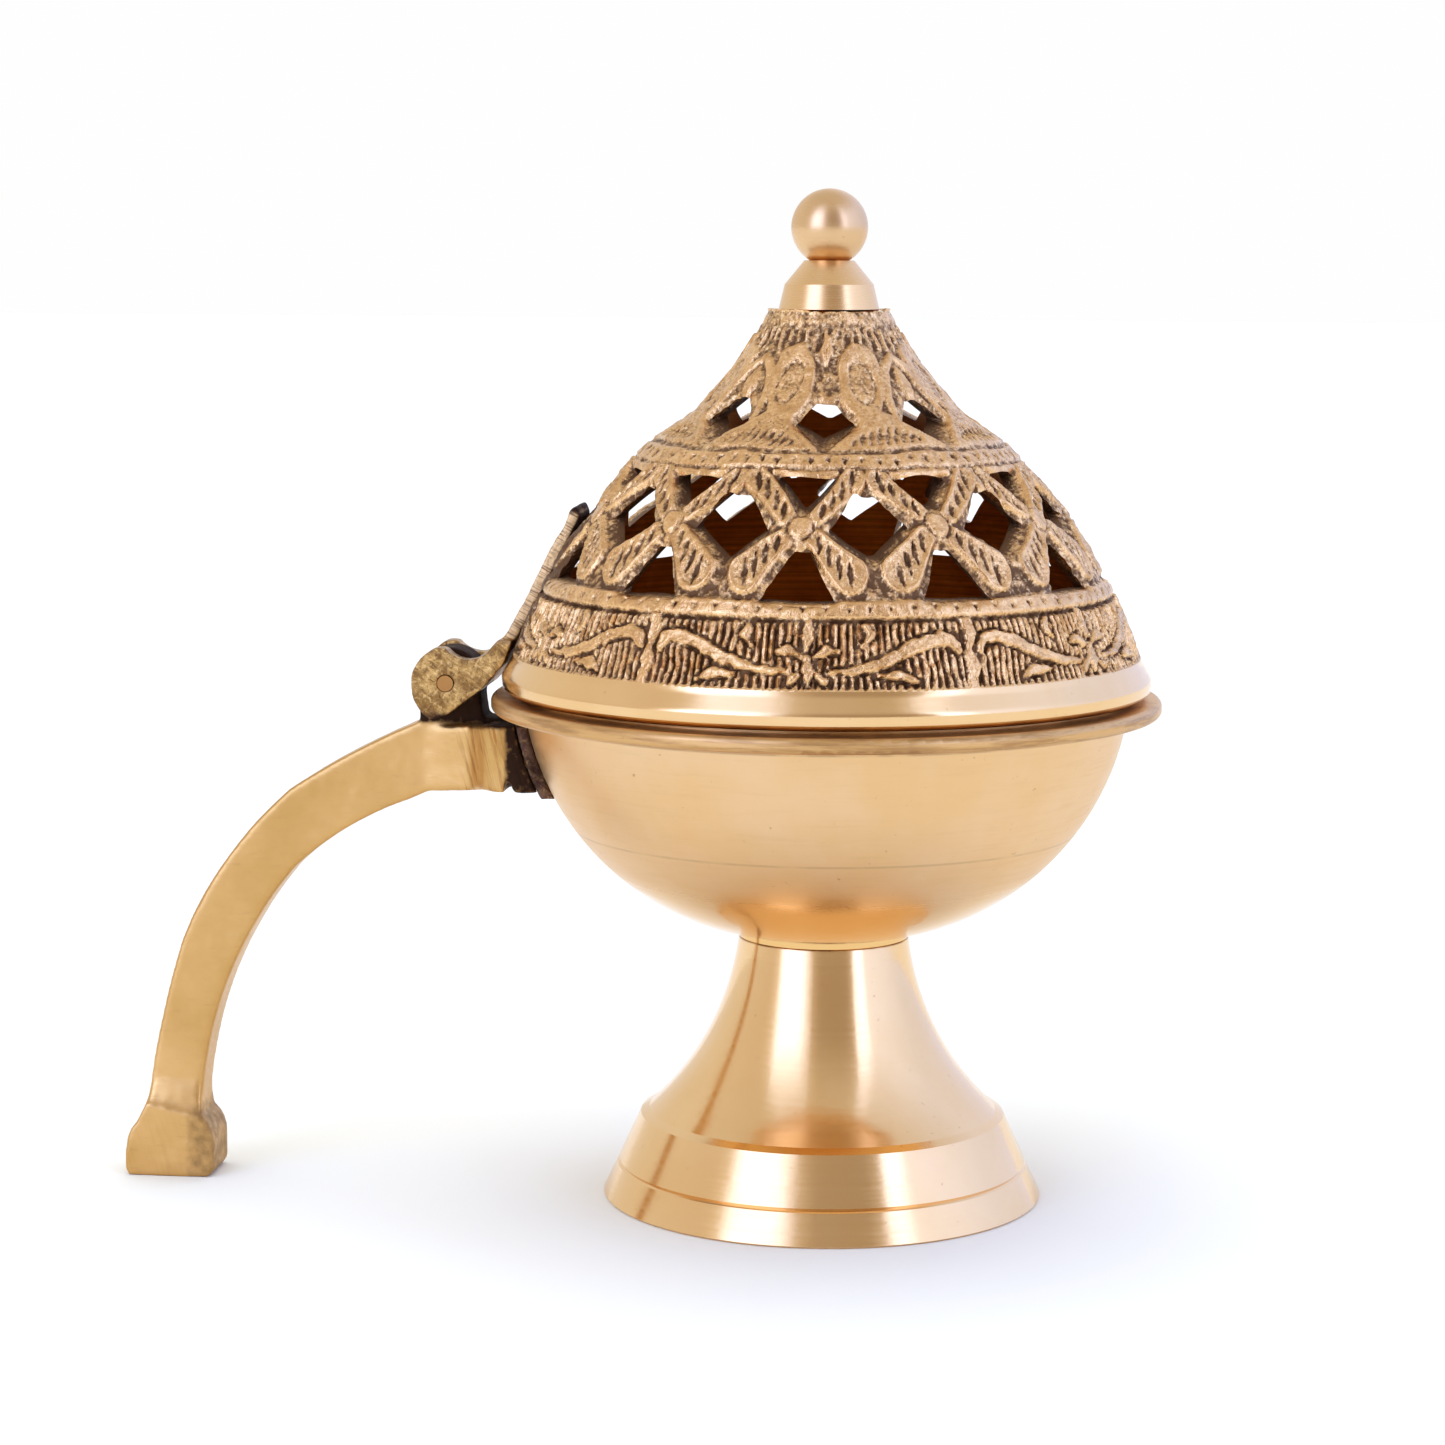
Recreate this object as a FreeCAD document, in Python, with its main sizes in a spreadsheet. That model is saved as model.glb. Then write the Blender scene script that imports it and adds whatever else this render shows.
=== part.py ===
import FreeCAD, Part

# Brass incense burner: a turned bowl on a pedestal foot, a pierced dome lid hinged at the back of
# the bowl's flange, and a bar handle whose tip stands on the table beside the foot.
# Millimetres, +Z up. The origin is on the table, on the axis of the turned parts. The handle and
# the hinge lie on the -X side, and the hinge pin runs along Y.

import math
import os
import re

import Sketcher
from FreeCAD import Placement, Rotation, Vector

SIZES = {
    # Pedestal foot
    "foot_r": 33.1,
    "foot_edge": 0.3,
    "skirt_top_r": 27.5,
    "skirt_top_z": 12.4,
    "flare_r": 26.2,
    "flare_z": 13.1,
    "flare_arc": 43.0,
    "neck_r": 12.83,
    "neck_z": 39.7,
    "neck_edge": 0.2,
    "foot_wall": 2.6,
    "foot_web": 3.0,
    "scored_r": 30.84,
    "scored_z": 5.0,
    "scored_size": 0.3,
    "scored_lean": 0.12,
    # Bowl
    "collar_z": 40.7,
    "collar_arc": 6.0,
    "bowl_low_r": 17.6,
    "bowl_low_z": 41.7,
    "bowl_rim_r": 45.0,
    "bowl_arc": 40.1,
    "bowl_centre_r": 5.35,
    "bowl_centre_z": 79.88,
    "bowl_wall": 2.6,
    "bowl_floor_r": 15.0,
    "bowl_floor_z": 44.0,
    "flange_r": 50.0,
    "flange_z": 73.9,
    "flange_thick": 2.3,
    "flange_round": 0.9,
    "seat_z": 76.8,
    "seat_wide": 2.8,
    # Fastening of the foot
    "screw_r": 2.5,
    "screw_head_r": 4.7,
    "screw_head_high": 2.4,
    "screw_slot_wide": 1.0,
    "screw_slot_deep": 1.2,
    "screw_end_z": 29.5,
    "washer_r": 5.2,
    "washer_thick": 1.0,
    "nut_r": 4.6,
    "nut_high": 4.0,
    "thread_gap": 0.05,
    "hole_gap": 0.2,
    # Handle
    "bar_wide": 6.8,
    "tip_wide": 9.6,
    "saddle_gap": 0.04,
    "saddle_thick": 1.8,
    "saddle_low_z": 60.6,
    "pad_thick": 3.2,
    "pad_angle": 23.0,
    "pad_low_z": 61.4,
    "pad_high_z": 71.6,
    "lug_r": 5.0,
    # Hinge
    "pin_x": -56.5,
    "pin_z": 77.5,
    "pin_r": 1.2,
    "pin_gap": 0.06,
    "press_gap": 0.02,
    "fork_wide": 13.6,
    "fork_slot": 7.2,
    "fork_clear_r": 5.75,
    "bore_reach": 20.0,
    "strap_wide": 10.4,
    # Dome lid
    "lid_gap": 0.1,
    "band_low_r": 47.2,
    "band_inner_r": 43.9,
    "band_r": 48.4,
    "band_mid_z": 78.6,
    "band_high_z": 79.3,
    "dome_low_r": 47.0,
    "dome_low_z": 81.6,
    "dome_knee_r": 26.5,
    "dome_knee_z": 114.0,
    "dome_arc": 79.5,
    "dome_wall": 2.6,
    "inner_knee_r": 24.6,
    "inner_knee_z": 112.2,
    "crown_arc": 46.2,
    "crown_r": 9.08,
    "crown_z": 133.4,
    "crown_thick": 2.8,
    "inner_crown_r": 6.7,
    # Finial
    "cone_low_r": 7.42,
    "cone_break_r": 6.57,
    "cone_break_z": 137.0,
    "cone_top_r": 3.7,
    "cone_top_z": 140.5,
    "ball_r": 5.66,
    "top_z": 151.0,
    "stud_r": 1.5,
    "stud_low_z": 125.8,
    "stud_high_z": 146.5,
    "stud_washer_r": 3.8,
    "stud_washer_thick": 0.7,
    "stud_nut_r": 3.2,
    "stud_nut_high": 2.4,
    # Rivets, flush outside and headed inside
    "rivet_r": 1.2,
    "rivet_head_r": 2.3,
    "rivet_head_high": 0.9,
    "rivet_head_gap": 0.1,
}

OUT, IN = "out", "in"

# Side outlines as (x, z) corners, counter-clockwise. Where a corner names a radius, the side to
# the next corner is an arc of that radius, bulging out of the shape or into it.
OUTLINES = {
    "bar": [
        (-47.6, 71.9),
        (-54.5, 71.9, 19.0, OUT),
        (-62.6, 70.6, 118.0, OUT),
        (-81.2, 60.5, 64.5, OUT),
        (-98.3, 36.7, 150.0, OUT),
        (-104.2, 9.0),
        (-95.6, 9.0, 62.8, IN),
        (-80.5, 48.5, 50.6, IN),
        (-62.7, 59.3, 30.4, IN),
        (-49.3, 62.9),
        (-46.6, 62.9),
    ],
    "tip": [
        (-94.2, 0.0),
        (-93.4, 1.2),
        (-93.5, 5.6, 5.0, OUT),
        (-95.4, 9.6),
        (-103.9, 11.5),
        (-105.5, 8.4, 6.0, OUT),
        (-107.2, 4.0),
        (-107.4, 1.0),
        (-106.9, 0.0),
    ],
    "lug": [(-61.0, 69.0), (-51.1, 69.0), (-51.8, 75.8), (-61.2, 75.8)],
    "ear": [
        (-58.9, 71.9),
        (-56.3, 72.7),
        (-50.7, 76.9),
        (-47.8, 80.4),
        (-46.2, 84.2),
        (-48.5, 84.2),
        (-50.3, 82.2, 4.2, IN),
        (-56.3, 82.7, 2.6, OUT),
        (-59.1, 82.2, 5.6, OUT),
        (-61.7, 77.4, 6.3, OUT),
    ],
    "fork_slot": [(-63.0, 70.0), (-51.0, 70.0), (-51.0, 77.5), (-63.0, 77.5)],
    "strap": [
        (-47.8, 80.4),
        (-46.3, 83.4),
        (-42.3, 90.4),
        (-39.1, 96.9),
        (-36.3, 102.4),
        (-36.9, 104.2),
        (-37.9, 103.7),
        (-38.9, 100.9),
        (-40.9, 97.9),
        (-44.1, 91.3),
        (-47.4, 85.2, 14.0, IN),
        (-50.3, 82.2),
    ],
    "low_window": [(-5.2, 94.2), (5.2, 94.2), (1.0, 100.8), (-1.0, 100.8)],
    "mid_window": [(0.0, 99.6), (5.6, 104.0), (1.5, 108.3), (-1.5, 108.3), (-5.6, 104.0)],
    "high_window": [(0.0, 106.2), (3.9, 110.5), (-3.9, 110.5)],
    "crown_window": [(0.0, 115.4), (4.2, 117.7), (1.4, 120.5), (-1.4, 120.5), (-4.2, 117.7)],
}
LATTICE_REPEATS = 11
LATTICE_TURN = -1.5
CROWN_REPEATS = 8
CROWN_TURN = 3.5

# Rivet lines in a plane through the Z axis, as the (x, z) of the flush end and of the headed end
RIVET_LINES = {
    "strap_low": [(-47.11, 85.74), (-43.28, 84.26)],
    "strap_high": [(-43.9, 91.71), (-40.71, 90.16)],
    "handle": [(-47.78, 64.49), (-40.3, 67.2)],
}
STRAP_RIVETS = [("strap_low", 0.0), ("strap_high", 0.0)]
HANDLE_RIVETS = [("handle", -8.6), ("handle", 8.6)]

doc = FreeCAD.newDocument("incense_burner")
sheet = doc.addObject("Spreadsheet::Sheet", "Sizes")


def fill_sheet():
    """Writes every driving dimension to the sheet, each with its alias."""
    cells = dict(SIZES)
    for name, corners in (OUTLINES | RIVET_LINES).items():
        for i, corner in enumerate(corners, start=1):
            for axis, value in zip("xzr", corner[:3]):
                cells[f"{name}_{axis}{i}"] = value
    for row, (alias, value) in enumerate(cells.items(), start=1):
        sheet.set(f"A{row}", alias)
        sheet.set(f"B{row}", str(value))
        sheet.setAlias(f"B{row}", alias)
    doc.recompute()


def bound(text):
    """The expression in which each size's name reads its cell of the sheet."""
    return re.sub(r"\b[a-z]\w*\b(?!\()", r"Sizes.\g<0>", str(text))


def size(text):
    """The present value of such an expression."""
    return float(sheet.evalExpression(bound(text)))


def corners_of(name):
    """An outline's corners as the names of its cells."""
    texts = []
    for i, corner in enumerate(OUTLINES[name], start=1):
        texts.append((f"{name}_x{i}", f"{name}_z{i}"))
        if len(corner) == 4:
            texts[-1] += (f"{name}_r{i}", corner[3])
    return texts


def new_body(label):
    body = doc.addObject("PartDesign::Body", label)
    body.Label = label
    return body


def origin_part(body, role):
    return next(f for f in body.Origin.OriginFeatures if f.Role == role)


def new_sketch(body, plane="XZ_Plane", offset=None):
    sketch = body.newObject("Sketcher::SketchObject", f"{body.Name}_sketch")
    sketch.AttachmentSupport = [(origin_part(body, plane), "")]
    sketch.MapMode = "FlatFace"
    if offset:
        sketch.AttachmentOffset = offset
    return sketch


def bind(sketch, constraint, text):
    """Adds a dimension and ties it to the sheet."""
    index = sketch.addConstraint(constraint)
    sketch.setExpression(f"Constraints[{index}]", bound(text))


def arc_between(start, end, radius, way):
    """The arc from start to end, bulging to the right of that way if it goes out."""
    chord = end - start
    right = Vector(chord.y, -chord.x, 0).normalize()
    depth = math.sqrt(radius**2 - (chord.Length / 2) ** 2)
    centre = (start + end) / 2 + right * (-depth if way == OUT else depth)
    first, last = (start, end) if way == OUT else (end, start)
    angles = [math.atan2(p.y - centre.y, p.x - centre.x) for p in (first, last)]
    return Part.ArcOfCircle(Part.Circle(centre, Vector(0, 0, 1), radius), *angles)


def outline(sketch, corners):
    """Draws a closed counter-clockwise outline of (x, y) or (x, y, radius, way) corners."""
    points = [Vector(size(corner[0]), size(corner[1]), 0) for corner in corners]
    ends = []
    for i, corner in enumerate(corners):
        start, end = points[i], points[(i + 1) % len(points)]
        if len(corner) == 2:
            edge = sketch.addGeometry(Part.LineSegment(start, end), False)
            ends.append((edge, 1, 2))
            continue
        edge = sketch.addGeometry(arc_between(start, end, size(corner[2]), corner[3]), False)
        ends.append((edge, 1, 2) if corner[3] == OUT else (edge, 2, 1))
    for i, corner in enumerate(corners):
        edge, first, last = ends[i]
        following, next_first, _ = ends[(i + 1) % len(ends)]
        sketch.addConstraint(Sketcher.Constraint("Coincident", edge, last, following, next_first))
        place_point(sketch, edge, first, corner)
        if len(corner) == 4:
            radius = Sketcher.Constraint("Radius", edge, size(corner[2]))
            bind(sketch, radius, corner[2])
    return sketch


def place_point(sketch, edge, point, corner):
    """Dimensions one point of an edge from the sketch's origin."""
    for kind, text in zip(("DistanceX", "DistanceY"), corner):
        bind(sketch, Sketcher.Constraint(kind, -1, 1, edge, point, size(text)), text)


def circle(sketch, x, y, radius):
    shape = Part.Circle(Vector(size(x), size(y), 0), Vector(0, 0, 1), size(radius))
    edge = sketch.addGeometry(shape, False)
    place_point(sketch, edge, 3, (x, y))
    bind(sketch, Sketcher.Constraint("Radius", edge, size(radius)), radius)
    return sketch


def crown_radius(radius, high):
    """The radius of the domed face of a round head that rises by high over its radius."""
    return f"({radius}^2 + {high}^2) / (2 * {high})"


def turned(body, corners, kind="Revolution"):
    """Turns an outline of (radius, z) corners about the Z axis."""
    feature = body.newObject(f"PartDesign::{kind}", f"{body.Name}_{kind.lower()}")
    feature.Profile = outline(new_sketch(body), corners)
    feature.ReferenceAxis = (origin_part(body, "Z_Axis"), [""])
    return feature


def thickened(body, sketch, width, kind="Pad"):
    """Pads or pockets a sketch to both sides of its plane."""
    feature = body.newObject(f"PartDesign::{kind}", f"{body.Name}_{kind.lower()}")
    feature.Profile = sketch
    feature.SideType = "Symmetric"
    feature.setExpression("Length", bound(width))
    return feature


def rivet_sketch(body, name, turn, corners):
    """An outline of (radius, height) corners along a rivet, measured up from its headed end."""
    (tail_x, tail_z), (head_x, head_z) = RIVET_LINES[name]
    lean = math.degrees(math.atan2(tail_z - head_z, tail_x - head_x)) - 90
    along = Placement(Vector(head_x, head_z, 0), Rotation(Vector(0, 0, 1), lean))
    offset = Placement(Vector(), Rotation(Vector(0, 1, 0), turn)) * along
    return outline(new_sketch(body, offset=offset), corners)


def rivet_length(name):
    return f"sqrt(({name}_x1 - {name}_x2)^2 + ({name}_z1 - {name}_z2)^2)"


def spun(body, sketch, kind):
    """Turns a sketch about its own vertical axis."""
    feature = body.newObject(f"PartDesign::{kind}", f"{body.Name}_{kind.lower()}")
    feature.Profile = sketch
    feature.ReferenceAxis = (sketch, ["V_Axis"])
    return feature


def rivet_holes(body, rivets):
    for name, turn in rivets:
        past = f"{rivet_length(name)} + rivet_head_high"
        hole_r = "rivet_r + press_gap"
        corners = [(0, "-rivet_head_r"), (hole_r, "-rivet_head_r"), (hole_r, past), (0, past)]
        spun(body, rivet_sketch(body, name, turn, corners), "Groove")


def rivet_group(label, rivets):
    """Several alike rivets, each flush with the outer face and headed on the inner one."""
    links = []
    for i, (name, turn) in enumerate(rivets, start=1):
        body = new_body(f"{label}_{i}")
        length = rivet_length(name)
        head_arc = crown_radius("rivet_head_r", "rivet_head_high")
        corners = [
            (0, "-rivet_head_gap - rivet_head_high", head_arc, OUT),
            ("rivet_head_r", "-rivet_head_gap"),
            ("rivet_r", "-rivet_head_gap"),
            ("rivet_r", length),
            (0, length),
        ]
        spun(body, rivet_sketch(body, name, turn, corners), "Revolution")
        links.append(body)
    group = doc.addObject("Part::Compound", label)
    group.Label = label
    group.Links = links


def bored_for_pin(body, gap):
    hole = circle(new_sketch(body), "pin_x", "pin_z", f"pin_r + {gap}")
    thickened(body, hole, "bore_reach", "Pocket")


def windows(body, name, repeats, turn):
    """Cuts one window through the wall on the -Y side and repeats it round the Z axis."""
    offset = Placement(Vector(), Rotation(Vector(0, 1, 0), turn))
    pocket = body.newObject("PartDesign::Pocket", f"{name}_pocket")
    pocket.Profile = outline(new_sketch(body, offset=offset), corners_of(name))
    pocket.Reversed = True
    pocket.setExpression("Length", bound("flange_r"))
    pattern = body.newObject("PartDesign::PolarPattern", f"{name}_ring")
    pattern.Originals = [pocket]
    pattern.Axis = (origin_part(body, "Z_Axis"), [""])
    pattern.Angle = 360
    pattern.Occurrences = repeats
    body.Tip = pattern


def on_bowl(offset, z):
    """The -X side's x, at height z, of the bowl's outer curve moved outwards by offset."""
    return f"-(bowl_centre_r + sqrt((bowl_arc + {offset})^2 - (bowl_centre_z - {z})^2))"


def bowl_sector(body, inner, outer, low_z, high_z):
    """A plate bent round the bowl's outer curve on the -X side, between two offsets from it."""
    corners = [
        (on_bowl(outer, high_z), high_z, f"bowl_arc + {outer}", OUT),
        (on_bowl(outer, low_z), low_z),
        (on_bowl(inner, low_z), low_z, f"bowl_arc + {inner}", IN),
        (on_bowl(inner, high_z), high_z),
    ]
    plate = turned(body, corners)
    plate.Midplane = True
    plate.setExpression("Angle", bound("pad_angle"))
    return plate


def pedestal_foot():
    turned(
        new_body("pedestal_foot"),
        [
            ("foot_r - foot_edge", 0),
            ("foot_r", "foot_edge"),
            ("scored_r + scored_lean", "scored_z - scored_size"),
            ("scored_r - scored_size", "scored_z"),
            ("scored_r - scored_lean", "scored_z + scored_size"),
            ("skirt_top_r", "skirt_top_z"),
            ("flare_r", "flare_z", "flare_arc", IN),
            ("neck_r", "neck_z - neck_edge"),
            ("neck_r - neck_edge", "neck_z"),
            ("screw_r + hole_gap", "neck_z"),
            ("screw_r + hole_gap", "neck_z - foot_web"),
            ("neck_r - foot_wall", "neck_z - foot_web", "flare_arc + foot_wall", OUT),
            ("flare_r - foot_wall", "skirt_top_z - foot_wall"),
            ("foot_r - foot_wall", 0),
        ],
    )


def bowl():
    body = new_body("bowl")
    flange_top = "flange_z + flange_thick"
    turned(
        body,
        [
            ("neck_r", "neck_z"),
            ("neck_r", "collar_z", "collar_arc", IN),
            ("bowl_low_r", "bowl_low_z", "bowl_arc", OUT),
            ("bowl_rim_r", "flange_z"),
            ("flange_r - flange_round", "flange_z", "flange_round", OUT),
            ("flange_r", "flange_z + flange_round"),
            ("flange_r", f"{flange_top} - flange_round", "flange_round", OUT),
            ("flange_r - flange_round", flange_top),
            ("bowl_rim_r", flange_top),
            ("bowl_rim_r", "seat_z"),
            ("bowl_rim_r - seat_wide", "seat_z"),
            ("bowl_rim_r - seat_wide", "flange_z", "bowl_arc - bowl_wall", IN),
            ("bowl_floor_r", "bowl_floor_z"),
            ("screw_r + hole_gap", "bowl_floor_z"),
            ("screw_r + hole_gap", "neck_z"),
        ],
    )
    rivet_holes(body, HANDLE_RIVETS)


def washer(label, bore_r, outer_r, low_z, thick):
    high_z = f"{low_z} + {thick}"
    corners = [(bore_r, low_z), (outer_r, low_z), (outer_r, high_z), (bore_r, high_z)]
    turned(new_body(label), corners)


def hex_nut(label, bore_r, corner_r, low_z, high):
    """A six-sided nut on the Z axis, from low_z upwards."""
    body = new_body(label)
    sketch = new_sketch(body, "XY_Plane")
    sketch.setExpression("AttachmentOffset.Base.z", bound(low_z))
    turns = range(0, 360, 60)
    outline(sketch, [(f"{corner_r} * cos({a})", f"{corner_r} * sin({a})") for a in turns])
    circle(sketch, 0, 0, bore_r)
    pad = body.newObject("PartDesign::Pad", f"{label}_pad")
    pad.Profile = sketch
    pad.setExpression("Length", bound(high))


def foot_fastening():
    """The screw through the bowl's floor, and the washer and nut inside the foot."""
    body = new_body("foot_screw")
    head_arc = crown_radius("screw_head_r", "(screw_head_high / 2)")
    turned(
        body,
        [
            (0, "screw_end_z"),
            ("screw_r", "screw_end_z"),
            ("screw_r", "bowl_floor_z"),
            ("screw_head_r", "bowl_floor_z"),
            ("screw_head_r", "bowl_floor_z + screw_head_high / 2", head_arc, OUT),
            (0, "bowl_floor_z + screw_head_high"),
        ],
    )
    slot_high = "bowl_floor_z + screw_head_high"
    slot_low = f"{slot_high} - screw_slot_deep"
    half = "screw_slot_wide / 2"
    corners = [(f"-{half}", slot_low), (half, slot_low), (half, slot_high), (f"-{half}", slot_high)]
    thickened(body, outline(new_sketch(body), corners), "screw_head_r * 2", "Pocket")
    under = "neck_z - foot_web"
    washer("foot_washer", "screw_r + hole_gap", "washer_r", f"{under} - washer_thick", "washer_thick")
    nut_z = f"{under} - washer_thick - nut_high"
    hex_nut("foot_nut", "screw_r + thread_gap", "nut_r", nut_z, "nut_high")


def handle():
    """One casting: bent bar, foot block at the tip, bent pad on the bowl and hinge lug."""
    body = new_body("handle")
    thickened(body, outline(new_sketch(body), corners_of("bar")), "bar_wide")
    thickened(body, outline(new_sketch(body), corners_of("tip")), "tip_wide")
    inner = "(saddle_gap * 2 + saddle_thick)"
    bowl_sector(body, inner, f"({inner} + pad_thick)", "pad_low_z", "pad_high_z")
    thickened(body, outline(new_sketch(body), corners_of("lug")), "bar_wide")
    thickened(body, circle(new_sketch(body), "pin_x", "pin_z", "lug_r"), "bar_wide")
    bored_for_pin(body, "pin_gap")
    rivet_holes(body, HANDLE_RIVETS)


def handle_saddle():
    body = new_body("handle_saddle")
    outer = "(saddle_gap + saddle_thick)"
    bowl_sector(body, "saddle_gap", outer, "saddle_low_z", "pad_high_z")
    rivet_holes(body, HANDLE_RIVETS)


def hinge_strap():
    """The lid's casting: two ears outside the lug, a bridge, and the leaf up the dome."""
    body = new_body("hinge_strap")
    thickened(body, outline(new_sketch(body), corners_of("ear")), "fork_wide")
    thickened(body, outline(new_sketch(body), corners_of("strap")), "strap_wide")
    slot = outline(new_sketch(body), corners_of("fork_slot"))
    thickened(body, slot, "fork_slot", "Pocket")
    around_lug = circle(new_sketch(body), "pin_x", "pin_z", "fork_clear_r")
    thickened(body, around_lug, "fork_slot", "Pocket")
    bored_for_pin(body, "press_gap")
    rivet_holes(body, STRAP_RIVETS)
    return body


def hinge_pin():
    body = new_body("hinge_pin")
    thickened(body, circle(new_sketch(body), "pin_x", "pin_z", "pin_r"), "fork_wide")


def dome_lid(strap):
    """The pierced dome on its turned band, let in under the hinge strap."""
    body = new_body("dome_casting")
    low_z, under_z = "seat_z + lid_gap", "crown_z - crown_thick"
    turned(
        body,
        [
            ("band_low_r", low_z),
            ("band_r", "band_mid_z"),
            ("band_r", "band_high_z"),
            ("dome_low_r", "dome_low_z", "dome_arc", OUT),
            ("dome_knee_r", "dome_knee_z", "crown_arc", IN),
            ("crown_r", "crown_z"),
            ("stud_r + hole_gap", "crown_z"),
            ("stud_r + hole_gap", under_z),
            ("inner_crown_r", under_z, "crown_arc + dome_wall", OUT),
            ("inner_knee_r", "inner_knee_z", "dome_arc - dome_wall", IN),
            ("dome_low_r - dome_wall", "dome_low_z"),
            ("band_inner_r", low_z),
        ],
    )
    windows(body, "low_window", LATTICE_REPEATS, LATTICE_TURN)
    windows(body, "mid_window", LATTICE_REPEATS, LATTICE_TURN + 180 / LATTICE_REPEATS)
    windows(body, "high_window", LATTICE_REPEATS, LATTICE_TURN)
    windows(body, "crown_window", CROWN_REPEATS, CROWN_TURN)
    rivet_holes(body, STRAP_RIVETS)
    lid = doc.addObject("Part::Cut", "dome_lid")
    lid.Label = "dome_lid"
    lid.Base = body
    lid.Tool = strap


def finial():
    """The turned cone and ball, and the stud, washer and nut that hold them on the dome."""
    bore_r = "stud_r + hole_gap"
    turned(
        new_body("finial_collar"),
        [
            (bore_r, "crown_z"),
            ("cone_low_r", "crown_z"),
            ("cone_break_r", "cone_break_z"),
            ("cone_top_r", "cone_top_z"),
            (bore_r, "cone_top_z"),
        ],
    )
    thread_r, bore_top = "stud_r + thread_gap", "stud_high_z + hole_gap"
    seat_r = "sqrt(ball_r^2 - (top_z - ball_r - cone_top_z)^2)"
    turned(
        new_body("finial_ball"),
        [
            (thread_r, "cone_top_z"),
            (seat_r, "cone_top_z", "ball_r", OUT),
            (0, "top_z"),
            (0, bore_top),
            (thread_r, bore_top),
        ],
    )
    stud = [(0, "stud_low_z"), ("stud_r", "stud_low_z"), ("stud_r", "stud_high_z"), (0, "stud_high_z")]
    turned(new_body("finial_stud"), stud)
    washer_z = "crown_z - crown_thick - stud_washer_thick"
    washer("finial_washer", bore_r, "stud_washer_r", washer_z, "stud_washer_thick")
    nut_z = f"{washer_z} - stud_nut_high"
    hex_nut("finial_nut", thread_r, "stud_nut_r", nut_z, "stud_nut_high")


NODES = [
    "pedestal_foot",
    "bowl",
    "foot_screw",
    "foot_washer",
    "foot_nut",
    "handle",
    "handle_saddle",
    "handle_rivets",
    "dome_lid",
    "hinge_strap",
    "hinge_pin",
    "strap_rivets",
    "finial_collar",
    "finial_ball",
    "finial_stud",
    "finial_washer",
    "finial_nut",
]


def check():
    """Stops if any object failed or any sub-part isn't a valid solid."""
    for item in doc.Objects:
        if {"Invalid", "Error"} & set(item.State):
            raise RuntimeError(f"{item.Name} failed: {item.State}")
    for name in NODES:
        shape = doc.getObject(name).Shape
        if shape.isNull() or not shape.isValid() or not shape.Solids:
            raise RuntimeError(f"{name} isn't a valid solid")


def export():
    os.makedirs("parts", exist_ok=True)
    for name in NODES:
        doc.getObject(name).Shape.exportStep(f"parts/{name}.step")


fill_sheet()
pedestal_foot()
bowl()
foot_fastening()
handle()
handle_saddle()
rivet_group("handle_rivets", HANDLE_RIVETS)
strap_body = hinge_strap()
hinge_pin()
dome_lid(strap_body)
rivet_group("strap_rivets", STRAP_RIVETS)
finial()
doc.recompute()
check()
export()
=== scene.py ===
import itertools
import math

import bmesh
import bpy
import numpy as np
from mathutils import Matrix, Vector


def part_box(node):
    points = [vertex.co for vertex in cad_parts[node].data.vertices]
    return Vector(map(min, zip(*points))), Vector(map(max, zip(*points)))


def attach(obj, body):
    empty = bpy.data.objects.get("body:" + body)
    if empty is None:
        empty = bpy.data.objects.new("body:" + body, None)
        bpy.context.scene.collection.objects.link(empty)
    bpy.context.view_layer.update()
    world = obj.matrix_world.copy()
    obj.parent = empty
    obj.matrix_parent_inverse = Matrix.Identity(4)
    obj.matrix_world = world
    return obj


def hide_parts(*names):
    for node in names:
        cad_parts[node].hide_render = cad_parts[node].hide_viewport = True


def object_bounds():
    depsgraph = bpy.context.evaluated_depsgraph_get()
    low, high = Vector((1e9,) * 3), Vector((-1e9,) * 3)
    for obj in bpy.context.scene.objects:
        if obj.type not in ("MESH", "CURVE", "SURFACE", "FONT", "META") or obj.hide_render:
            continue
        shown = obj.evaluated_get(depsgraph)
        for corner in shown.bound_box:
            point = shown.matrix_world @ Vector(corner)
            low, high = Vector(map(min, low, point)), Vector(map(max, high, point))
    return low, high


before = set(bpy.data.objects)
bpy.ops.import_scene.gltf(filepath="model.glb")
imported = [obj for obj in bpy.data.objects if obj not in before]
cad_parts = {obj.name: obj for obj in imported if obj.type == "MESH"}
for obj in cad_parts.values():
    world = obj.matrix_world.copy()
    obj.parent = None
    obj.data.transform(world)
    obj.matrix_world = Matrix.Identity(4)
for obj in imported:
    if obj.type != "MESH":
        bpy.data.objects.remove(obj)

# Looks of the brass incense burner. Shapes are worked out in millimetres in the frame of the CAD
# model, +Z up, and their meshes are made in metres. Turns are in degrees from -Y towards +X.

MM = 0.001
CAD_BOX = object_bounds()
IMAGE_SIDE = 1445

# ---------------- camera, light and floor

# In millimetres, degrees and, for the focal length, pixels of the photograph
CAMERA_FOCAL_PX = 3612.2
SENSOR = 36.0
CAMERA_DISTANCE = 536.6
CAMERA_HIGH = 143.6
CAMERA_TURN = 4.5
CAMERA_PAN = 1.646
CAMERA_DOWN = 7.63
CAMERA_ROLL = 0.28

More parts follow.
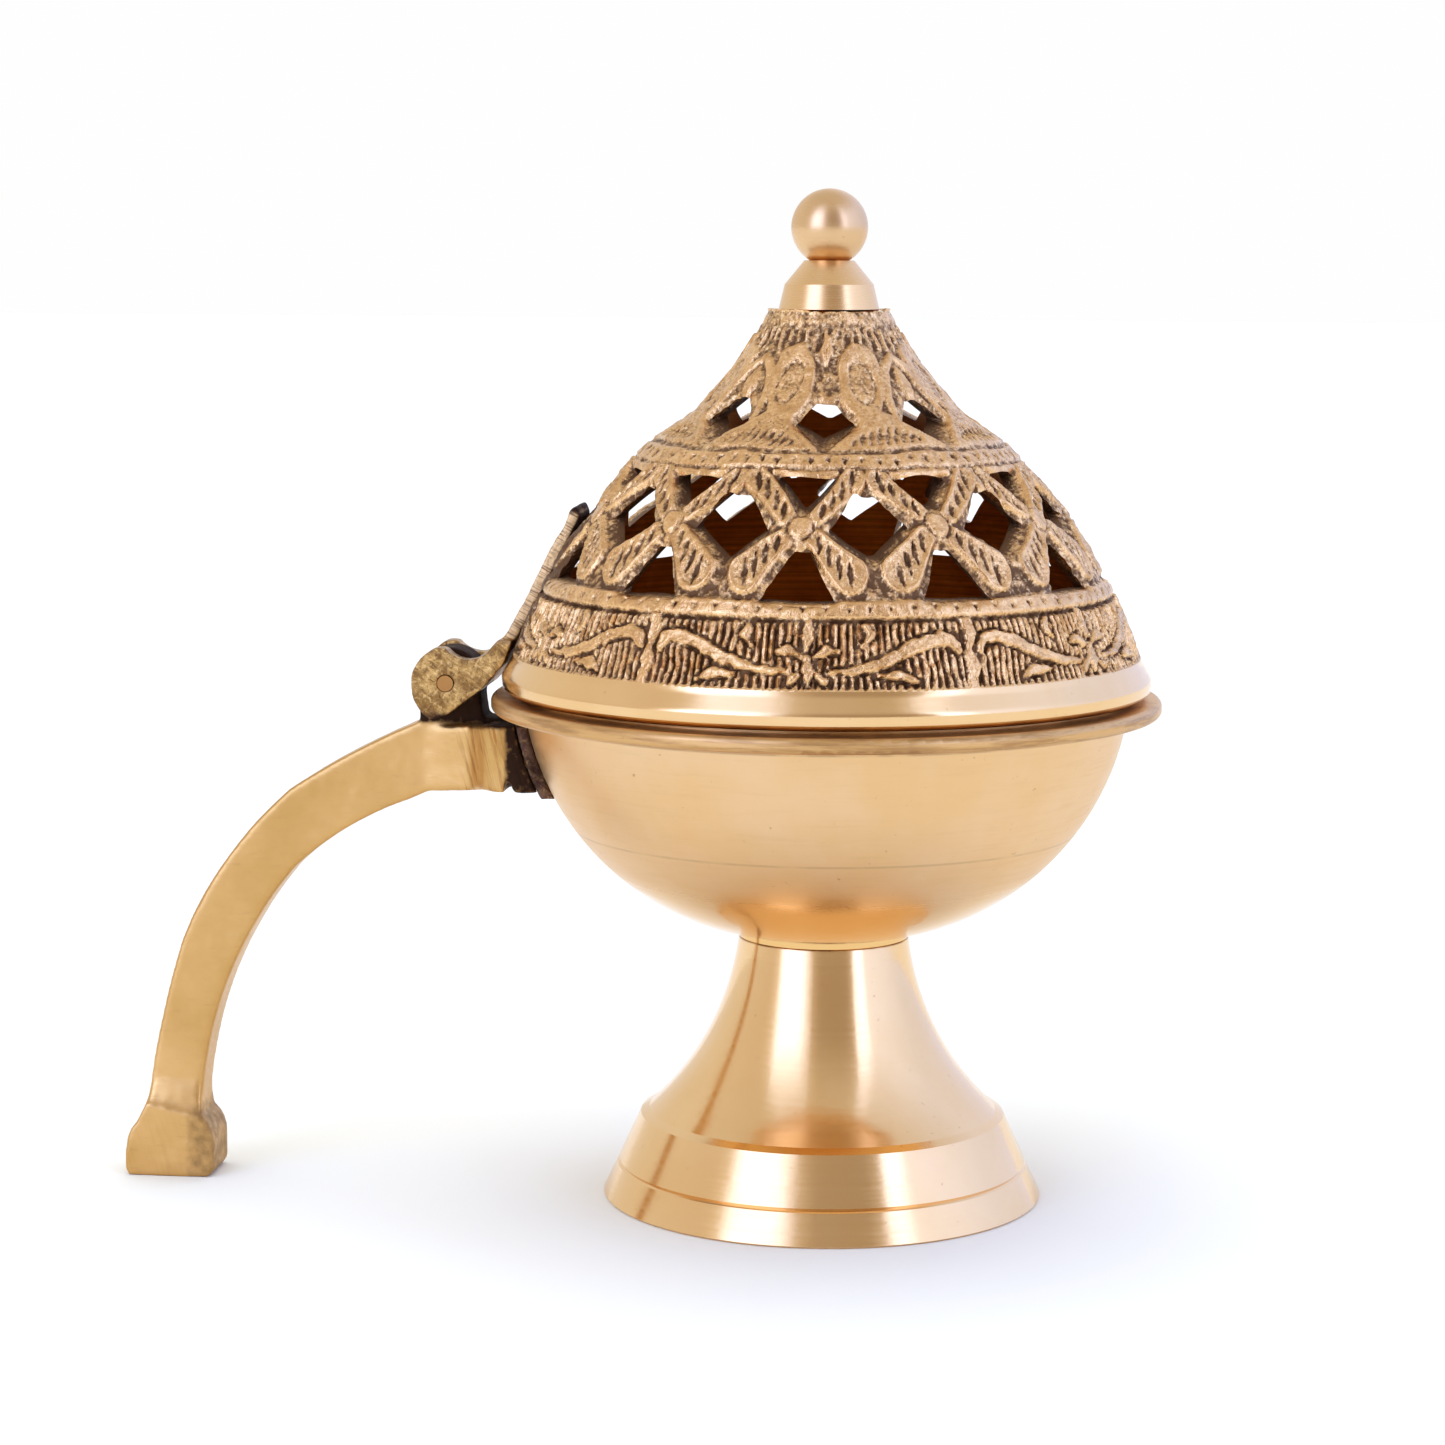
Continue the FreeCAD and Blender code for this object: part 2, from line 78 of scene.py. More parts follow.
# The studio's walls, as (turn in degrees from the camera's own side, brightness, coolness), where
# coolness 1 is a cool lamp and -1 a warm card
STUDIO_WALLS = [
    (-180, 0.90, 0.0), (-120, 0.87, -0.3), (-68, 0.82, -0.4), (-60, 0.95, -0.2), (-53, 2.05, 1.2),
    (-27, 2.05, 1.2), (-14, 0.72, -0.6), (-4, 0.50, -0.9), (29, 0.48, -0.95), (38, 0.70, -0.6),
    (41, 2.00, 1.2), (50, 2.00, 1.2), (56, 1.22, 1.0), (85, 1.10, 1.0), (110, 0.96, 1.0),
    (150, 0.92, 0.7), (180, 0.90, 0.0),
]
CEILING = (0.78, 0.76, 0.73, 1)
CEILING_STARTS = (0.55, 0.95)
OVERHEAD_POWER = 1.1
OVERHEAD_WIDTH = 50
OVERHEAD_WAY = (0.06, -0.12, -1)
BACKDROP = 0.992
FLOOR_SIDE = 12.0
FLOOR_COLOUR = (0.87, 0.875, 0.785, 1)


# ---------------- materials

PIT_BROWN = (0.32, 0.15, 0.05, 1)
SCORE_BROWN = (0.20, 0.085, 0.03, 1)

# The bowl by height in millimetres: bright and golden below, satin above, worn on the flange
BOWL_GOLD = (0.82, 0.50, 0.185, 1)
BOWL_STREAK = (0.55, 0.33, 0.15, 1)
BOWL_PIT = (0.28, 0.13, 0.05, 1)
FLANGE_WORN = ((0.62, 0.35, 0.125, 1), (0.38, 0.19, 0.06, 1))
GOLD_FADES = (44.0, 52.0)
SATIN_STARTS = (47.0, 51.5)
FLANGE_STARTS = (73.3, 74.3)
BOWL_SCORES = [(56.3, 0.25, 0.22), (73.2, 0.3, 0.45), (40.75, 0.3, 0.7)]

BELT_BROWN = (0.42, 0.22, 0.07, 1)
FILE_CUT = (0.34, 0.16, 0.05, 1)
FILE_WAY = (0.97, 0.0, 0.25)
# Near black for a sooty pad and painted shade at the hinge lug
HANDLE_SOOT_AND_SHADE = (0.052, 0.026, 0.016, 1)

STRAP_RUBBED = (0.86, 0.58, 0.31, 1)
# A painted glint in the strap's grain
STRAP_GLINT = (0.86, 0.56, 0.22, 1)
# Near black for sooty places and painted shade on the strap
STRAP_SOOT_AND_SHADE = (0.060, 0.030, 0.022, 1)
STRAP_WAY = (0.45, 0.0, 0.89)
EAR_WAY = (0.62, 0.0, 0.78)

CAST_HOLLOW = (0.15, 0.072, 0.03, 1)
CAST_TONES = ((0.66, 0.37, 0.15, 1), (0.86, 0.525, 0.24, 1))
# A painted glint and painted shade for the cast lid's grain
CAST_GLINT = (1.0, 0.77, 0.45, 1)
CAST_PIT_SHADE = (0.24, 0.11, 0.045, 1)

SMOKE_TONES = ((0.68, 0.25, 0.03, 1), (0.95, 0.42, 0.065, 1))
SMOKE_RING = (0.12, 0.04, 0.008, 1)


class Graph:
    """A node tree built by calls that return sockets."""

    def __init__(self, owner):
        self.owner = owner
        owner.use_nodes = True
        self.tree = owner.node_tree
        self.tree.nodes.clear()

    def node(self, kind, values=None, **settings):
        """A new node, with values or links for its inputs."""
        made = self.tree.nodes.new("ShaderNode" + kind)
        for key, value in settings.items():
            setattr(made, key, value)
        for key, value in (values or {}).items():
            self.feed(made.inputs[key], value)
        return made

    def feed(self, socket, value):
        """Links a socket to an output, or sets its value."""
        if isinstance(value, bpy.types.NodeSocket):
            self.tree.links.new(value, socket)
        else:
            socket.default_value = value

    def math(self, operation, first, second=0.0):
        return self.node("Math", {0: first, 1: second}, operation=operation).outputs[0]

    def total(self, first, second):
        return self.math("ADD", first, second)

    def product(self, first, second):
        return self.math("MULTIPLY", first, second)

    def mix(self, share, first, second):
        """The first colour at share 0 and the second at 1."""
        made = self.node("Mix", data_type="RGBA")
        for index, value in ((0, share), (6, first), (7, second)):
            self.feed(made.inputs[index], value)
        return made.outputs[2]

    def span(self, value, low, high, to_low=0.0, to_high=1.0):
        """The value's place between low and high, kept inside to_low and to_high."""
        return self.node("MapRange", {0: value, 1: low, 2: high, 3: to_low, 4: to_high}).outputs[0]

    def noise(self, size, vector=None, detail=3.0, roughness=0.55, distortion=0.0):
        """Noise with lumps about size millimetres across."""
        if vector is None:
            vector = self.place()
        values = {"Vector": vector, "Scale": 1 / (size * MM), "Detail": detail}
        values |= {"Roughness": roughness, "Distortion": distortion}
        return self.node("TexNoise", values).outputs[0]

    def place(self, stretch=(1, 1, 1)):
        """The object's own coordinates, stretched."""
        place = self.node("TexCoord").outputs["Object"]
        if stretch == (1, 1, 1):
            return place
        return self.node("VectorMath", {0: place, 1: stretch}, operation="MULTIPLY").outputs[0]

    def apart(self, vector):
        """The x, y and z of a vector."""
        return self.node("SeparateXYZ", {0: vector}).outputs

    def rings(self, size, detail=4.0, lean=0.35):
        """Noise in rings about the Z axis, as a lathe leaves them."""
        x, y, z = self.apart(self.place())
        radius = self.math("SQRT", self.total(self.product(x, x), self.product(y, y)))
        along = self.total(z, self.product(radius, lean))
        line = self.node("CombineXYZ", {2: along}).outputs[0]
        return self.noise(size, line, detail)

    def height(self):
        """Height over the floor in millimetres."""
        return self.product(self.apart(self.place())[2], 1 / MM)

    def marks(self, way, size):
        """Fine marks across a direction, as a file leaves them."""
        ahead = self.node("VectorMath", {0: self.place(), 1: way}, operation="DOT_PRODUCT")
        x, y, z = self.apart(self.place((0.1, 0.1, 0.1)))
        drift = self.total(z, x)
        line = self.node("CombineXYZ", {0: ahead.outputs[1], 1: drift, 2: y}).outputs[0]
        return self.noise(size, line, 4.0, 0.65)

    def attribute(self, name):
        """The number that each vertex keeps under a name."""
        return self.node("Attribute", attribute_name=name).outputs["Fac"]

    def bump(self, height, strength, distance, normal=None):
        """A normal tilted by a height, whose full range stands for distance millimetres."""
        values = {"Height": height, "Strength": strength, "Distance": distance * MM}
        made = self.node("Bump", values)
        if normal is not None:
            self.feed(made.inputs["Normal"], normal)
        return made.outputs[0]

    def surface(self, colour, roughness, normal, metallic=1.0):
        """Ends the tree in one shader and returns its material."""
        values = {"Base Color": colour, "Roughness": roughness, "Normal": normal, "Metallic": metallic}
        shader = self.node("BsdfPrincipled", values)
        output = self.node("OutputMaterial")
        self.tree.links.new(shader.outputs[0], output.inputs[0])
        return self.owner


def turned_brass(name, tone, deep, roughness, ring_size=0.5, ring_strength=0.12, scores=()):
    """Turned brass rubbed bright: fine rings, faint clouds, pits and scored lines."""
    graph = Graph(bpy.data.materials.new(name))
    clouds = graph.noise(18, detail=4.0)
    rings = graph.rings(ring_size)
    pits = graph.noise(0.9, detail=2.0)
    colour = graph.mix(graph.span(clouds, 0.38, 0.66), deep, tone)
    colour = graph.mix(graph.span(pits, 0.70, 0.80, 0.0, 0.35), colour, PIT_BROWN)
    colour = scored(graph, colour, scores)
    wear = graph.span(rings, 0.3, 0.7, -0.04, 0.05)
    wear = graph.total(wear, graph.span(clouds, 0.3, 0.7, 0.03, -0.03))
    normal = graph.bump(rings, ring_strength, 0.05)
    normal = graph.bump(graph.noise(7), 0.12, 0.25, normal)
    return graph.surface(colour, graph.total(wear, roughness), normal)


def scored(graph, colour, scores):
    """Dark hairlines round a turned piece, each a height, a width and a strength."""
    for height, width, strength in scores:
        off = graph.math("ABSOLUTE", graph.math("SUBTRACT", graph.height(), height))
        share = graph.span(off, width * 0.3, width, strength, 0.0)
        share = graph.product(share, graph.span(graph.noise(5), 0.35, 0.55, 0.3, 1.0))
        colour = graph.mix(share, colour, SCORE_BROWN)
    return colour


def bowl_brass(name, tone, deep):
    """Satin brass, mirror bright under the bowl and darker and streaked on the flange."""
    graph = Graph(bpy.data.materials.new(name))
    clouds = graph.noise(20, detail=5.0)
    rings = graph.rings(0.4)
    streaks = graph.noise(1.3, graph.place((0.12, 0.12, 1.6)), 4.0, 0.65)
    pits = graph.noise(1.1, detail=2.0)
    height = graph.height()
    satin_share = graph.span(height, *SATIN_STARTS)
    flange = graph.span(height, *FLANGE_STARTS)
    colour = graph.mix(graph.span(clouds, 0.38, 0.66), deep, tone)
    colour = graph.mix(graph.span(streaks, 0.55, 0.75, 0.0, 0.12), colour, BOWL_STREAK)
    colour = graph.mix(graph.span(pits, 0.71, 0.80, 0.0, 0.5), colour, BOWL_PIT)
    colour = graph.mix(graph.span(height, *GOLD_FADES, 0.85, 0.0), colour, BOWL_GOLD)
    worn = graph.mix(graph.span(streaks, 0.45, 0.62), *FLANGE_WORN)
    colour = graph.mix(graph.product(flange, 0.8), colour, worn)
    colour = scored(graph, colour, BOWL_SCORES)
    rough = graph.span(satin_share, 0.0, 1.0, 0.10, 0.37)
    rough = graph.total(rough, graph.span(rings, 0.3, 0.7, -0.03, 0.04))
    rough = graph.total(rough, graph.span(streaks, 0.35, 0.65, -0.02, 0.04))
    normal = graph.bump(rings, 0.07, 0.05)
    normal = graph.bump(graph.noise(8), 0.12, 0.3, normal)
    return graph.surface(colour, rough, normal)


def ground_brass(name, tone, deep, roughness):
    """Cast brass dressed with a file and a belt: fine scratches, and near black for a sooty pad and
    painted shade.
    """
    graph = Graph(bpy.data.materials.new(name))
    clouds = graph.noise(14, detail=4.0)
    belt = graph.noise(1.0, graph.place((0.22, 1.0, 1.6)), 5.0, 0.7)
    filed_marks = graph.marks(FILE_WAY, 0.7)
    filed_share = graph.attribute("filed")
    scratches = graph.mix(filed_share, belt, filed_marks)
    colour = graph.mix(graph.span(clouds, 0.36, 0.66), deep, tone)
    colour = graph.mix(graph.span(belt, 0.60, 0.74, 0.0, 0.30), colour, BELT_BROWN)
    cuts_share = graph.product(filed_share, graph.span(filed_marks, 0.50, 0.64, 0.0, 0.75))
    colour = graph.mix(cuts_share, colour, FILE_CUT)
    blotch = graph.span(graph.noise(1.6, detail=5.0), 0.36, 0.64, -0.3, 0.3)
    # Near black for a sooty pad and painted shade at the hinge lug
    soot_and_shade = graph.attribute("soot_and_shade")
    soot_and_shade = graph.span(graph.total(soot_and_shade, graph.product(blotch, soot_and_shade)), 0.1, 0.75)
    colour = graph.mix(soot_and_shade, colour, HANDLE_SOOT_AND_SHADE)
    rough = graph.total(graph.span(scratches, 0.3, 0.7, -0.06, 0.08), roughness)
    rough = graph.total(rough, graph.product(soot_and_shade, 0.42))
    normal = graph.bump(scratches, graph.span(filed_share, 0, 1, 0.22, 0.8), 0.1)
    normal = graph.bump(graph.noise(5), 0.15, 0.4, normal)
    return graph.surface(colour, rough, normal)


def forged_brass(name, hollow, tones):
    """Rough brass with painted glints in its grain, filed where the attribute filed says so, and near
    black where an attribute marks sooty places and painted shade.
    """
    graph = Graph(bpy.data.materials.new(name))
    grit = graph.noise(0.85, detail=5.0, roughness=0.7, distortion=0.8)
    grit = graph.total(graph.product(grit, 0.68), graph.product(graph.marks(EAR_WAY, 0.5), 0.32))
    patches = graph.noise(2.6, detail=5.0, roughness=0.65)
    lines = graph.marks(STRAP_WAY, 0.26)
    filed_share = graph.attribute("filed")
    colour = graph.mix(graph.span(patches, 0.42, 0.58), *tones)
    colour = graph.mix(graph.span(filed_share, 0.3, 1.0, 0.0, 0.85), colour, STRAP_RUBBED)
    rough_share = graph.span(filed_share, 0.3, 1.0, 1.0, 0.25)
    dull = graph.product(rough_share, graph.span(grit, 0.50, 0.60, 0.0, 0.85))
    colour = graph.mix(dull, colour, hollow)
    # Painted glints in the grain
    painted_glints = graph.product(rough_share, graph.span(grit, 0.47, 0.39, 0.0, 0.8))
    colour = graph.mix(painted_glints, colour, STRAP_GLINT)
    cuts_share = graph.product(filed_share, graph.span(lines, 0.50, 0.60, 0.0, 0.85))
    colour = graph.mix(cuts_share, colour, hollow)
    # Near black for sooty places and painted shade under the ears and against the dome
    soot_and_shade = graph.attribute("soot_and_shade")
    blotch = graph.product(graph.span(patches, 0.3, 0.7, -0.4, 0.4), soot_and_shade)
    soot_and_shade = graph.span(graph.total(soot_and_shade, blotch), 0.15, 0.8)
    colour = graph.mix(soot_and_shade, colour, STRAP_SOOT_AND_SHADE)
    rough = graph.span(soot_and_shade, 0.0, 1.0, 0.32, 0.75)
    normal = graph.bump(grit, 1.0, 0.26)
    normal = graph.bump(lines, graph.span(filed_share, 0, 1, 0.15, 0.7), 0.15, normal)
    return graph.surface(colour, rough, normal)


def antique_brass(name):
    """Cast brass left brown in its hollows and rubbed tan on what stands proud, with a painted highlight
    on raised rims, painted glints and painted shade in its grain.
    """
    graph = Graph(bpy.data.materials.new(name))
    grit = graph.noise(0.5, roughness=0.7)
    spots = graph.noise(2.0)
    # The relief attribute also carries painted shade behind the strap and on the window walls; the crease
    # term lightens raised rims, partly as rubbing and partly as a painted highlight
    proud = graph.total(graph.attribute("relief"), graph.product(graph.attribute("crease"), 1.8))
    patchy = graph.span(graph.noise(4.5), 0.4, 0.6, 0.35, 1.0)
    coarse = graph.product(graph.span(proud, 0.6, 1.25, 1.0, 0.3), patchy)
    proud = graph.total(proud, graph.span(grit, 0.35, 0.65, -0.36, 0.30))
    rub = graph.total(proud, graph.span(spots, 0.3, 0.7, -0.12, 0.12))
    tone = graph.mix(graph.span(spots, 0.35, 0.65), *CAST_TONES)
    # Painted glints on the grain's peaks and painted shade in its pits
    painted_glints = graph.product(coarse, graph.span(grit, 0.54, 0.62, 0.0, 0.9))
    pit_shade = graph.product(coarse, graph.span(grit, 0.45, 0.37, 0.0, 0.8))
    tone = graph.mix(painted_glints, tone, CAST_GLINT)
    tone = graph.mix(pit_shade, tone, CAST_PIT_SHADE)
    colour = graph.mix(graph.span(rub, -0.05, 0.75), CAST_HOLLOW, tone)
    rough = graph.span(rub, 0.0, 0.9, 0.48, 0.21)
    normal = graph.bump(grit, graph.span(coarse, 0.0, 1.0, 0.4, 1.0), 0.25)
    return graph.surface(colour, rough, normal, graph.span(rub, 0.0, 0.6, 0.8, 1.0))


def smoked_brass(name):
    """The turned inside of the lid, browned by smoke."""
    graph = Graph(bpy.data.materials.new(name))
    rings = graph.rings(0.55, 2.0, 0.1)
    clouds = graph.noise(9)
    colour = graph.mix(graph.span(clouds, 0.35, 0.65), *SMOKE_TONES)
    colour = graph.mix(graph.span(rings, 0.35, 0.65, 0.45, 0.0), colour, SMOKE_RING)
    return graph.surface(colour, graph.span(rings, 0.3, 0.7, 0.34, 0.46), graph.bump(rings, 0.5, 0.12))


def floor_paint(name):
    """Plain pale matt paint, a little cloudy."""
    graph = Graph(bpy.data.materials.new(name))
    lighter = tuple(1.01 * part for part in FLOOR_COLOUR[:3]) + (1,)
    paint = graph.mix(graph.noise(400), FLOOR_COLOUR, lighter)
    return graph.surface(paint, 0.9, graph.bump(graph.noise(3), 0.02, 0.05), 0.0)


# ---------------- shapes in general

SHARP_EDGE = 60
ARC_STEP = 0.5
FAR = 1e3
PRIMES = (73856093, 19349663, 83492791, 2654435761, 1274126177)


def placed(name, data):
    """A new object in the scene."""
    made = bpy.data.objects.new(name, data)
    bpy.context.scene.collection.objects.link(made)
    return made


def finished(name, mesh, materials, body, node):
    """Makes a mesh a piece with outward faces that rides on a body in the place of a CAD node."""
    shape = bmesh.new()
    shape.from_mesh(mesh)
    bmesh.ops.recalc_face_normals(shape, faces=shape.faces)
    shape.to_mesh(mesh)
    shape.free()
    mesh.shade_smooth()
    mesh.set_sharp_from_angle(angle=math.radians(SHARP_EDGE))
    made = placed(name, mesh)
    for material in materials:
        mesh.materials.append(material)
    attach(made, body)
    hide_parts(node)


def value(mesh, name, numbers):
    """Stores one number for each vertex, for the mesh's material."""
    attribute = mesh.attributes.new(name, "FLOAT", "POINT")
    attribute.data.foreach_set("value", np.asarray(numbers, np.float32))


def arc(start, end, radius):
    """Points from start to just before end on an arc. It bulges right of that way if radius > 0."""
    start, end = np.array(start, float), np.array(end, float)
    chord = end - start
    length = np.hypot(*chord)
    right = np.array([chord[1], -chord[0]]) / length
    centre = (start + end) / 2 - right * math.copysign(math.sqrt(radius**2 - length**2 / 4), radius)
    first, last = (math.atan2(*(p - centre)[::-1]) for p in (start, end))
    turn = (last - first + math.pi) % (2 * math.pi) - math.pi
    count = max(2, round(abs(radius * turn) / ARC_STEP))
    turns = first + turn * np.arange(count) / count
    return [tuple(centre + abs(radius) * np.array([math.cos(a), math.sin(a)])) for a in turns]


def trace(corners):
    """A dense line through corners (x, z) or (x, z, radius of the arc to the next corner)."""
    line = []
    for corner, following in zip(corners, corners[1:]):
        if len(corner) == 3:
            line += arc(corner[:2], following[:2], corner[2])
        else:
            line.append(corner)
    line.append(corners[-1][:2])
    return np.array(line, float)


def smooth(value):
    """An even rise from 0 to 1 as the value goes from 0 to 1."""
    value = np.clip(value, 0, 1)
    return value * value * (3 - 2 * value)


def lumps(points, size, seed):
    """Smooth noise from -1 to 1 at points, with lumps about size across."""
    scaled = np.asarray(points) / size
    cell = np.floor(scaled).astype(np.int64)
    share = smooth(scaled - cell)
    total = np.zeros(scaled.shape[:-1])
    for corner in itertools.product((0, 1), repeat=3):
        x, y, z = np.moveaxis(cell + corner, -1, 0)
        key = x * PRIMES[0] ^ y * PRIMES[1] ^ z * PRIMES[2] ^ seed * PRIMES[3]
        key = (key ^ (key >> 13)) * PRIMES[4]
        random = ((key ^ (key >> 16)) & 65535) / 32767.5 - 1
        total += random * np.prod(np.where(corner, share, 1 - share), axis=-1)
    return total


def zip_rings(first, first_turns, second, second_turns):
    """Triangles between two closed rings of vertices, each in the order of its turns."""
    faces = []
    i, j = 0, 0
    while i < len(first) or j < len(second):
        next_i, next_j = (i + 1) % len(first), (j + 1) % len(second)
        ahead_i = first_turns[next_i] + 2 * math.pi * (next_i == 0)
        ahead_j = second_turns[next_j] + 2 * math.pi * (next_j == 0)
        if j >= len(second) or (i < len(first) and ahead_i <= ahead_j):
            faces.append((first[i], first[next_i], second[j % len(second)]))
            i += 1
        else:
            faces.append((first[i % len(first)], second[next_j], second[j]))
            j += 1
    return faces


# ---------------- the lid's relief

BAND_LOW = (47.5, 76.9)
BAND_MIDDLE = (48.3, 77.6)
BAND_HIGH = (48.4, 79.2)
DOME_LOW = (47.0, 81.6)
DOME_KNEE = (26.5, 114.0)
DOME_ARC = 79.5
CROWN_ARC = 46.2
CROWN = (9.08, 133.4)
CROWN_HOLE = 1.7
INNER_LOW = (43.9, 76.9)
INNER_BAND = (44.4, 81.6)
INNER_ARC = 76.9
INNER_KNEE = (24.6, 112.2)
INNER_CROWN_ARC = 48.8
INNER_CROWN = (6.7, 130.6)
SPLIT_Z = 112.6
FRIEZE_LOW = 82.4
FRIEZE_TOP = 91.8
LOW_BAND_TOP = 94.6
LATTICE_TOP = 111.6
HIGH_BAND_TOP = 114.3
LIP_LOW = 131.2

COLUMNS = 900
CROWN_COLUMNS = 450
LINING_COLUMNS = 360
ROW_STEP = 0.32
LINING_STEP = 0.9
LINING_SHRINK = 0.15
CROWN_STRETCH = 1.1
TINY = 0.01
NUDGE = 0.02
SLOPE_REACH = 0.1
NEAR_EDGE = 0.3
LARGEST_MOVE = 0.4
WINDOW_RADIUS = 30
WINDOW_DEGREE = 0.6

LATTICE = 11
LATTICE_TURN = -1.5
CROWN_REPEATS = 8
CROWN_TURN = 3.5
FRIEZE_REPEATS = 6
FRIEZE_TURN = 1.0
FRIEZE_RIBS = 250
NECK_RIBS = 50
LOW_PUNCHES = 84
HIGH_PUNCHES = 72
GROUND = -0.85
LATTICE_GROUND = -0.66
BAND_GROUND = -0.42
CROWN_DEPTH = 0.8

# Window outlines as (x, z) seen square on, how many each row has, the turn of its first and how much
# higher it sits half way round
LOW_WINDOW = [(-5.1, 94.3), (5.1, 94.3), (0.9, 100.8), (-0.9, 100.8)]
MIDDLE_WINDOW = [(0.0, 99.8), (5.5, 104.0), (1.4, 108.2), (-1.4, 108.2), (-5.5, 104.0)]
HIGH_WINDOW = [(0.0, 106.3), (3.9, 110.4), (-3.9, 110.4)]
CROWN_WINDOW = [(0.0, 115.5), (4.1, 117.7), (1.4, 120.4), (-1.4, 120.4), (-4.1, 117.7)]
WINDOWS = [
    (LOW_WINDOW, LATTICE, LATTICE_TURN, 0.0),
    (MIDDLE_WINDOW, LATTICE, LATTICE_TURN + 180 / LATTICE, 0.0),
    (HIGH_WINDOW, LATTICE, LATTICE_TURN, 0.0),
    (CROWN_WINDOW, CROWN_REPEATS, CROWN_TURN, 1.1),
]
WINDOW_ROUND = 0.35
WINDOWS_LOW = 92
WINDOWS_TOP = 122.5
WINDOWS_INNER = 12
# Painted shade on the window walls, which fade to this tone where they meet the inside skin
WINDOW_WALL_SHADE = -0.6

# Cast grain as (height, width of its lumps, seed)
LID_GRAIN = [(0.13, 0.7, 3), (0.10, 1.3, 4), (0.06, 4.0, 5)]
STRAP_HALF = 5.2
STRAP_TOP_Z = 104.3
STRAP_SHADE = 14.5


def from_line(x, z, start, end):
    """Distance from the line between two points, and the share of it up to the nearest place."""
    (ax, az), (bx, bz) = start, end
    ex, ez = bx - ax, bz - az
    share = np.clip(((x - ax) * ex + (z - az) * ez) / (ex**2 + ez**2), 0, 1)
    return np.hypot(x - ax - ex * share, z - az - ez * share), share


def outline_distance(x, z, corners):
    """Signed distance to a closed outline, negative inside it."""
    nearest = np.full(x.shape, FAR)
    inside = np.zeros(x.shape, bool)
    for start, end in zip(corners, corners[1:] + corners[:1]):
        nearest = np.minimum(nearest, from_line(x, z, start, end)[0])
        (ax, az), (bx, bz) = start, end
        if bz != az:
            inside ^= ((az <= z) != (bz <= z)) & (x < ax + (z - az) * (bx - ax) / (bz - az))
    return np.where(inside, -nearest, nearest)


def ribbon_distance(x, z, path):
    """Signed distance to a ribbon through (x, z, half width) points, negative inside it."""
    nearest = np.full(x.shape, FAR)
    for (*start, half), (*end, end_half) in zip(path, path[1:]):
        gap, share = from_line(x, z, start, end)
        nearest = np.minimum(nearest, gap - (half + (end_half - half) * share))
    return nearest


class Skin:
    """Places by turn in degrees and distance along a turned profile in millimetres."""

    def __init__(self, line):
        self.line = line
        self.along = np.concatenate([[0], np.cumsum(np.hypot(*np.diff(line, axis=0).T))])
        self.length = self.along[-1]

    def profile(self, along):
        """Radius and height."""
        return (np.interp(along, self.along, self.line[:, axis]) for axis in (0, 1))

    def points(self, turn, along, high=0.0):
        """Points that stand high off the skin, square to it."""
        r, z = self.profile(along)
        ahead_r, ahead_z = self.profile(along + SLOPE_REACH)
        behind_r, behind_z = self.profile(along - SLOPE_REACH)
        slope_r, slope_z = ahead_r - behind_r, ahead_z - behind_z
        length = np.maximum(np.hypot(slope_r, slope_z), 1e-9)
        r, z = r + high * slope_z / length, z - high * slope_r / length
        angle = np.radians(turn)
        return np.stack([r * np.sin(angle), -r * np.cos(angle), z], axis=-1)


def repeat(turn, r, count, first):
    """Distance east of the nearest of count evenly spaced centres, and that centre's number."""
    pitch = 360 / count
    number = np.round((turn - first) / pitch)
    return r * np.radians(turn - first - number * pitch), number % count


def warp(turn, r, z):
    """The small wander of hand-cut shapes, in millimetres east and up."""
    angle = np.radians(turn)
    points = np.stack([r * np.sin(angle), r * np.cos(angle), z], axis=-1)
    return 0.38 * lumps(points, 6.0, 1), 0.3 * lumps(points, 5.0, 2)


def in_window(skin, turn, along, shrink=0.0):
    """How far inside the nearest window a place is, in millimetres, negative outside all."""
    r, z = skin.profile(along)
    east, up = warp(turn, r, z)
    deepest = np.full(np.shape(z), -FAR)
    for corners, count, first, rise in WINDOWS:
        x, number = repeat(turn, r, count, first)
        lean = 0.07 * np.sin(number * 2.4 + first)
        risen = z + up - rise * np.sin(np.pi * number / count)
        gap = outline_distance(x + east + lean * (z - corners[0][1]), risen, corners)
        deepest = np.maximum(deepest, WINDOW_ROUND - shrink - gap)
    near = (z > WINDOWS_LOW) & (z < WINDOWS_TOP) & (r > WINDOWS_INNER)
    return np.where(near, deepest, -FAR)


def raised(gap, top, edge=0.5):
    """Height of a shape whose signed distance is gap: GROUND outside it, top within."""
    return GROUND + (top - GROUND) * smooth(-gap / edge + 0.5)


def groove(offset, half_width, depth):
    """Depth of a rounded groove along the line where offset is 0."""
    return -depth * smooth(1.5 - np.abs(offset) / half_width)


